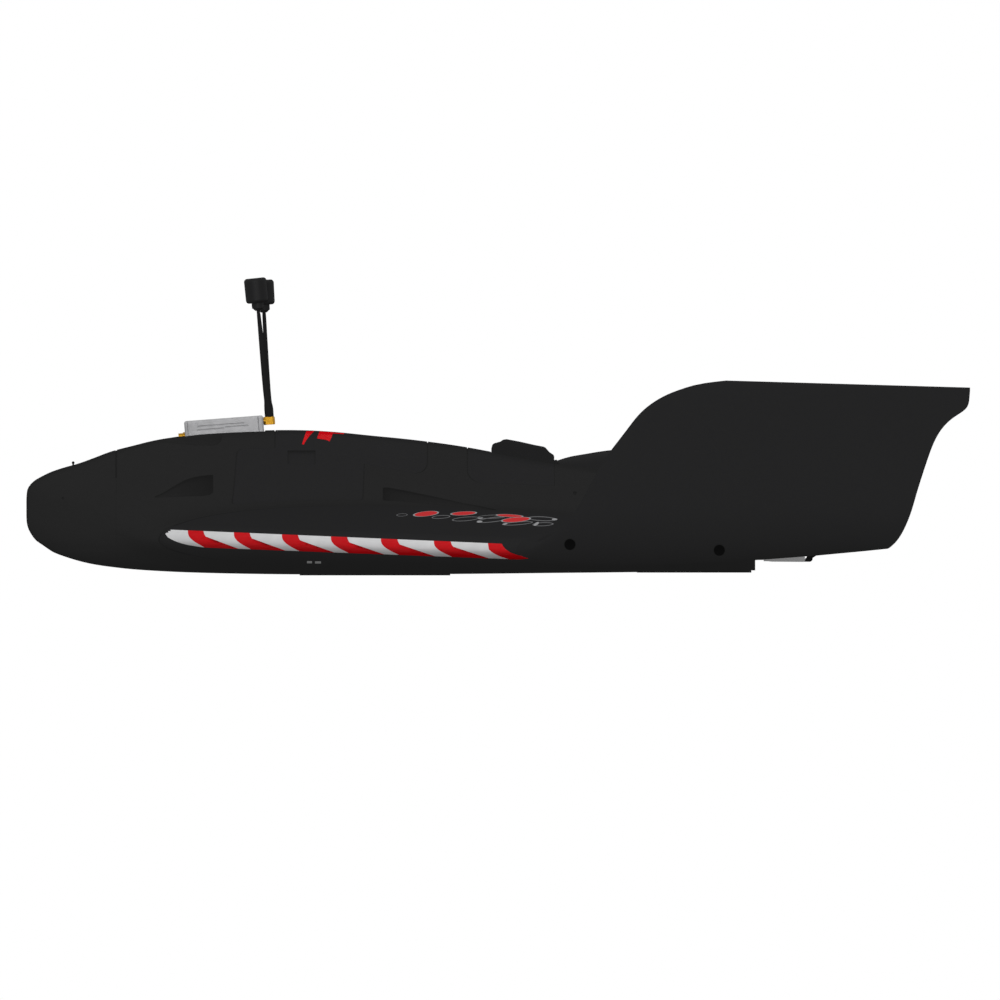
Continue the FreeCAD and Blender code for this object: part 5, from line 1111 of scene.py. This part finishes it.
def mat_board(name, base=(18, 52, 34)):
    """Solder mask with copper pads and tracks showing as a faint relief."""
    k = Mat(name)
    br = k.n("ShaderNodeTexBrick")
    k.link(k.co, br.inputs["Vector"])
    br.inputs["Scale"].default_value = 0.42
    br.inputs["Mortar Size"].default_value = 0.06
    br.offset = 0.37
    br.inputs["Brick Width"].default_value = 0.8
    v = k.voronoi(0.6, "F1", rand=0.4)
    pad = k.maprange(v, 0.22, 0.18, 0.0, 1.0)
    col = k.mix(br.outputs["Fac"], rgb(*base), rgb(*[min(255, x * 1.5) for x in base]))
    col = k.mix(k.math("MULTIPLY", pad, 0.9), col, rgb(212, 190, 120))
    nrm = k.bump(k.math("ADD", br.outputs["Fac"], pad), 0.05, 0.7, k.bevel(0.15))
    return k.set(base=col, rough=0.35, spec=0.5, metal=k.math("MULTIPLY", pad, 0.9), normal=nrm, coat=0.3)


WOOD = mat_wood("plywood_birch")
BOARD = mat_board("circuit_board")
BOARD_DK = mat_board("circuit_board_black", (20, 20, 24))


def mat_wrap(name, base, accent):
    """Heat-shrunk film over cells, wrinkled at the edges, with one plain colour band."""
    k = Mat(name)
    w = k.noise(0.22, 6, 0.65, k.scaled(0.35, 1, 1))
    sp = k.n("ShaderNodeSeparateXYZ")
    k.link(k.co, sp.inputs[0])
    b = k.math("MULTIPLY", k.math("GREATER_THAN", sp.outputs[0], -52.0), k.math("LESS_THAN", sp.outputs[0], -44.0))
    col = k.mix(b, k.mix(w, rgb(*base), rgb(*[min(255, x * 1.4) for x in base])), rgb(*accent))
    nrm = k.bump(w, 0.35, 0.6, k.bevel(0.6))
    return k.set(base=col, rough=0.28, spec=0.5, coat=0.5, coat_rough=0.12, normal=nrm)


WRAP = mat_wrap("battery_wrap", (24, 34, 62), (196, 200, 206))


def mat_lens(name):
    k = Mat(name)
    sp = k.n("ShaderNodeSeparateXYZ")
    k.link(k.co, sp.inputs[0])
    r = k.n("ShaderNodeVectorMath", operation="LENGTH")
    off = k.n("ShaderNodeMapping")
    off.inputs["Location"].default_value = (0, 0, -34.5)
    off.inputs["Scale"].default_value = (0, 1, 1)
    k.link(k.co, off.inputs[0])
    k.link(off.outputs[0], r.inputs[0])
    front = k.math("MULTIPLY", k.math("LESS_THAN", sp.outputs[0], -188.0), k.math("LESS_THAN", r.outputs["Value"], 5.55))
    # painted reflection: a view-angle colour ramp on the front glass stands in for the coating's tinted reflection,
    # purple face-on, green towards the rim, dark at grazing
    lw = k.n("ShaderNodeLayerWeight")
    lw.inputs[0].default_value = 0.35
    coat = k.ramp(lw.outputs["Facing"], [(0.0, rgb(16, 10, 34)), (0.45, rgb(34, 18, 70)), (0.8, rgb(14, 44, 40)), (1.0, rgb(8, 8, 10))])
    f = k.noise(4.0, 4, 0.6)
    col = k.mix(front, k.mix(f, rgb(22, 22, 24), rgb(30, 30, 32)), coat)
    ring = k.wave(0.9, "X")
    nrm = k.bump(k.math("MULTIPLY", ring, k.math("SUBTRACT", 1.0, front)), 0.12, 0.8, k.bevel(0.15))
    return k.set(base=col, rough=k.math("SUBTRACT", 0.42, k.math("MULTIPLY", front, 0.38)), spec=0.6, coat=front, coat_rough=0.02, normal=nrm)


LENS = mat_lens("lens_barrel")

plan = {
    "camera_bracket": PLASTIC, "vtx_case": ALU_CASE, "vtx_connectors": GOLD, "battery": WRAP, "battery_strap": STRAP, "equipment_tray": WOOD,
    "flight_controller": BOARD, "speed_controller": BOARD_DK, "radio_receiver": BOARD, "motor_mount": PLASTIC, "motor_stator": LAMINATE,
    "motor_mount_screws": STEEL_DARK, "motor_wires": RUBBER, "main_spar": CARBON, "rear_spar": CARBON, "fuselage_root_ribs": PLASTIC,
    "wing_lock_nuts": PLASTIC_FINE, "belly_skids": SKID, "bay_magnets": NICKEL, "main_hatch_magnets": NICKEL, "gps_cover": COVER,
    "gps_module": CAMERA, "camera_body": CAMERA, "camera_lens": LENS, "motor_bell": CAN, "prop_shaft": STEEL, "propeller": PROP, "prop_nut": ALU_NUT,
}
for tag in ("left", "right"):
    plan.update({"antenna_head_" + tag: PLASTIC_FINE, "antenna_stalk_" + tag: RUBBER, "antenna_plug_" + tag: GOLD, "wing_root_rib_" + tag: PLASTIC,
                 "hinge_leaves_wing_" + tag: NYLON, "servo_" + tag: SERVO, "winglet_screws_" + tag: BLACK_SCREW_AND_SHADE, "hinge_leaves_elevon_" + tag: NYLON,
                 "control_horn_" + tag: NYLON, "servo_arm_" + tag: NYLON, "pushrod_" + tag: ROD})
for n, m in plan.items():
    o = cad_mat(n, m)
    for p in o.data.polygons:
        p.use_smooth = True if False else p.use_smooth

# shrink sleeve over each aerial stalk: thin at the top, swelling to a moulded collar above the plug
SLEEVES = {"left": (5.89, [(314, 0.98), (322, 1.08), (330, 1.2), (345, 1.4), (360, 1.58), (375, 1.74), (390, 1.84), (399, 1.8), (402, 1.86), (405, 2.05), (409, 2.2), (416.6, 2.25)]),
           "right": (2.92, [(314, 0.98), (330, 1.04), (345, 1.1), (360, 1.17), (375, 1.25), (390, 1.38), (399, 1.56), (402, 1.68), (405, 2.02), (409, 2.25), (416.6, 2.3)])}
for tag, (tilt_, prof_) in SLEEVES.items():
    so_ = NODES["antenna_stalk_" + tag]
    sv_ = [so_.matrix_world @ v.co for v in so_.data.vertices]
    zt_ = max(v.z for v in sv_)
    ring_ = [v for v in sv_ if v.z > zt_ - 0.0006]
    cx_ = 0.5 * (min(v.x for v in ring_) + max(v.x for v in ring_)) * 1000
    cy_ = 0.5 * (min(v.y for v in ring_) + max(v.y for v in ring_)) * 1000
    cz_ = zt_ * 1000
    ta_ = math.radians(tilt_)
    loops_ = []
    for py_, r_ in prof_:
        z_ = (575 - py_) * 0.518
        k_ = (z_ - cz_) / math.cos(ta_)
        ax_ = cx_ - math.sin(ta_) * k_
        loops_.append([(ax_ + r_ * math.cos(2 * math.pi * j / 28) * math.cos(ta_), cy_ + r_ * math.sin(2 * math.pi * j / 28),
                        z_ + r_ * math.cos(2 * math.pi * j / 28) * math.sin(ta_)) for j in range(28)])
    slv = loft("antenna_sleeve_" + tag, loops_)
    smooth_by_angle(slv, 40)
    set_mat(slv, RUBBER)
    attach(slv, "antenna_" + tag)

# ------------------------------------------------------------------ floor, light, camera
floor = new_obj("stage_floor", [(-4000, -4000, 0), (4000, -4000, 0), (4000, 4000, 0), (-4000, 4000, 0)], [(0, 1, 2, 3)], None, False)
kf = Mat("stage_paper")
fn = kf.noise(0.4, 3, 0.5)
fl = kf.n("ShaderNodeLightPath")
paper = kf.mix(fn, rgb(243, 243, 243), rgb(250, 250, 250))
kf.set(base=kf.mix(fl.outputs["Is Camera Ray"], rgb(190, 190, 190), paper), rough=0.95, spec=0.0)
set_mat(floor, kf.m)

world = bpy.data.worlds.new("studio")
bpy.context.scene.world = world
world.use_nodes = True
wt = world.node_tree
wt.nodes.clear()
wo = wt.nodes.new("ShaderNodeOutputWorld")
bgc = wt.nodes.new("ShaderNodeBackground")
bgl = wt.nodes.new("ShaderNodeBackground")
mx = wt.nodes.new("ShaderNodeMixShader")
lp = wt.nodes.new("ShaderNodeLightPath")
wc = wt.nodes.new("ShaderNodeTexCoord")
ws = wt.nodes.new("ShaderNodeSeparateXYZ")
wr = wt.nodes.new("ShaderNodeMapRange")
wt.links.new(wc.outputs["Generated"], ws.inputs[0])
wt.links.new(ws.outputs[2], wr.inputs[0])
for k_, v_ in enumerate((-0.4, 0.6, 0.55, 0.62)):
    wr.inputs[1 + k_].default_value = v_
bgc.inputs[0].default_value = (1, 1, 1, 1)
bgc.inputs[1].default_value = 1.0
bgl.inputs[0].default_value = (1.0, 1.0, 1.0, 1)
wt.links.new(wr.outputs[0], bgl.inputs[1])
wt.links.new(lp.outputs["Is Camera Ray"], mx.inputs[0])
wt.links.new(bgl.outputs[0], mx.inputs[1])
wt.links.new(bgc.outputs[0], mx.inputs[2])
wt.links.new(mx.outputs[0], wo.inputs[0])


def area(name, loc, target, size, energy):
    l = bpy.data.lights.new(name, "AREA")
    l.shape = "RECTANGLE"
    l.size, l.size_y = size
    l.energy = energy
    o = bpy.data.objects.new(name, l)
    COLL.objects.link(o)
    o.location = loc
    o.rotation_mode = "QUATERNION"
    o.rotation_quaternion = (Vector(target) - Vector(loc)).to_track_quat("-Z", "Y")
    return o


area("key", (-0.6, -3.0, 1.0), (0.05, 0, 0.05), (2.6, 1.6), 22)
area("top", (0.1, 0.3, 2.6), (0.05, 0, 0.0), (2.4, 2.4), 6)
area("low", (0.3, -3.0, 0.35), (0.05, 0, 0.05), (2.8, 0.6), 14)

cam_d = bpy.data.cameras.new("camera")
cam = bpy.data.objects.new("camera", cam_d)
COLL.objects.link(cam)
DIST = 20.0
cam_d.type = "ORTHO"
cam_d.sensor_width = 36.0
cam_d.ortho_scale = 0.518
cam_d.clip_start, cam_d.clip_end = 0.5, 60.0
cam.location = (0.0518, -DIST, 0.03906)
cam.rotation_mode = "QUATERNION"
cam.rotation_quaternion = Vector((0, 1, 0)).to_track_quat("-Z", "Y")
# the side view is a half-metre frame; seen from closer by, from any other side, the frame widens to hold the whole span
drv = cam_d.driver_add("ortho_scale").driver
drv.type = "SCRIPTED"
dv = drv.variables.new()
dv.name = "y"
dv.type = "TRANSFORMS"
dv.targets[0].id = cam
dv.targets[0].transform_type = "LOC_Y"
dv.targets[0].transform_space = "WORLD_SPACE"
drv.expression = "0.518 if y < -10 else 1.16"
bpy.context.scene.camera = cam
bpy.context.scene.view_settings.view_transform = "Standard"

drop([body, wing])
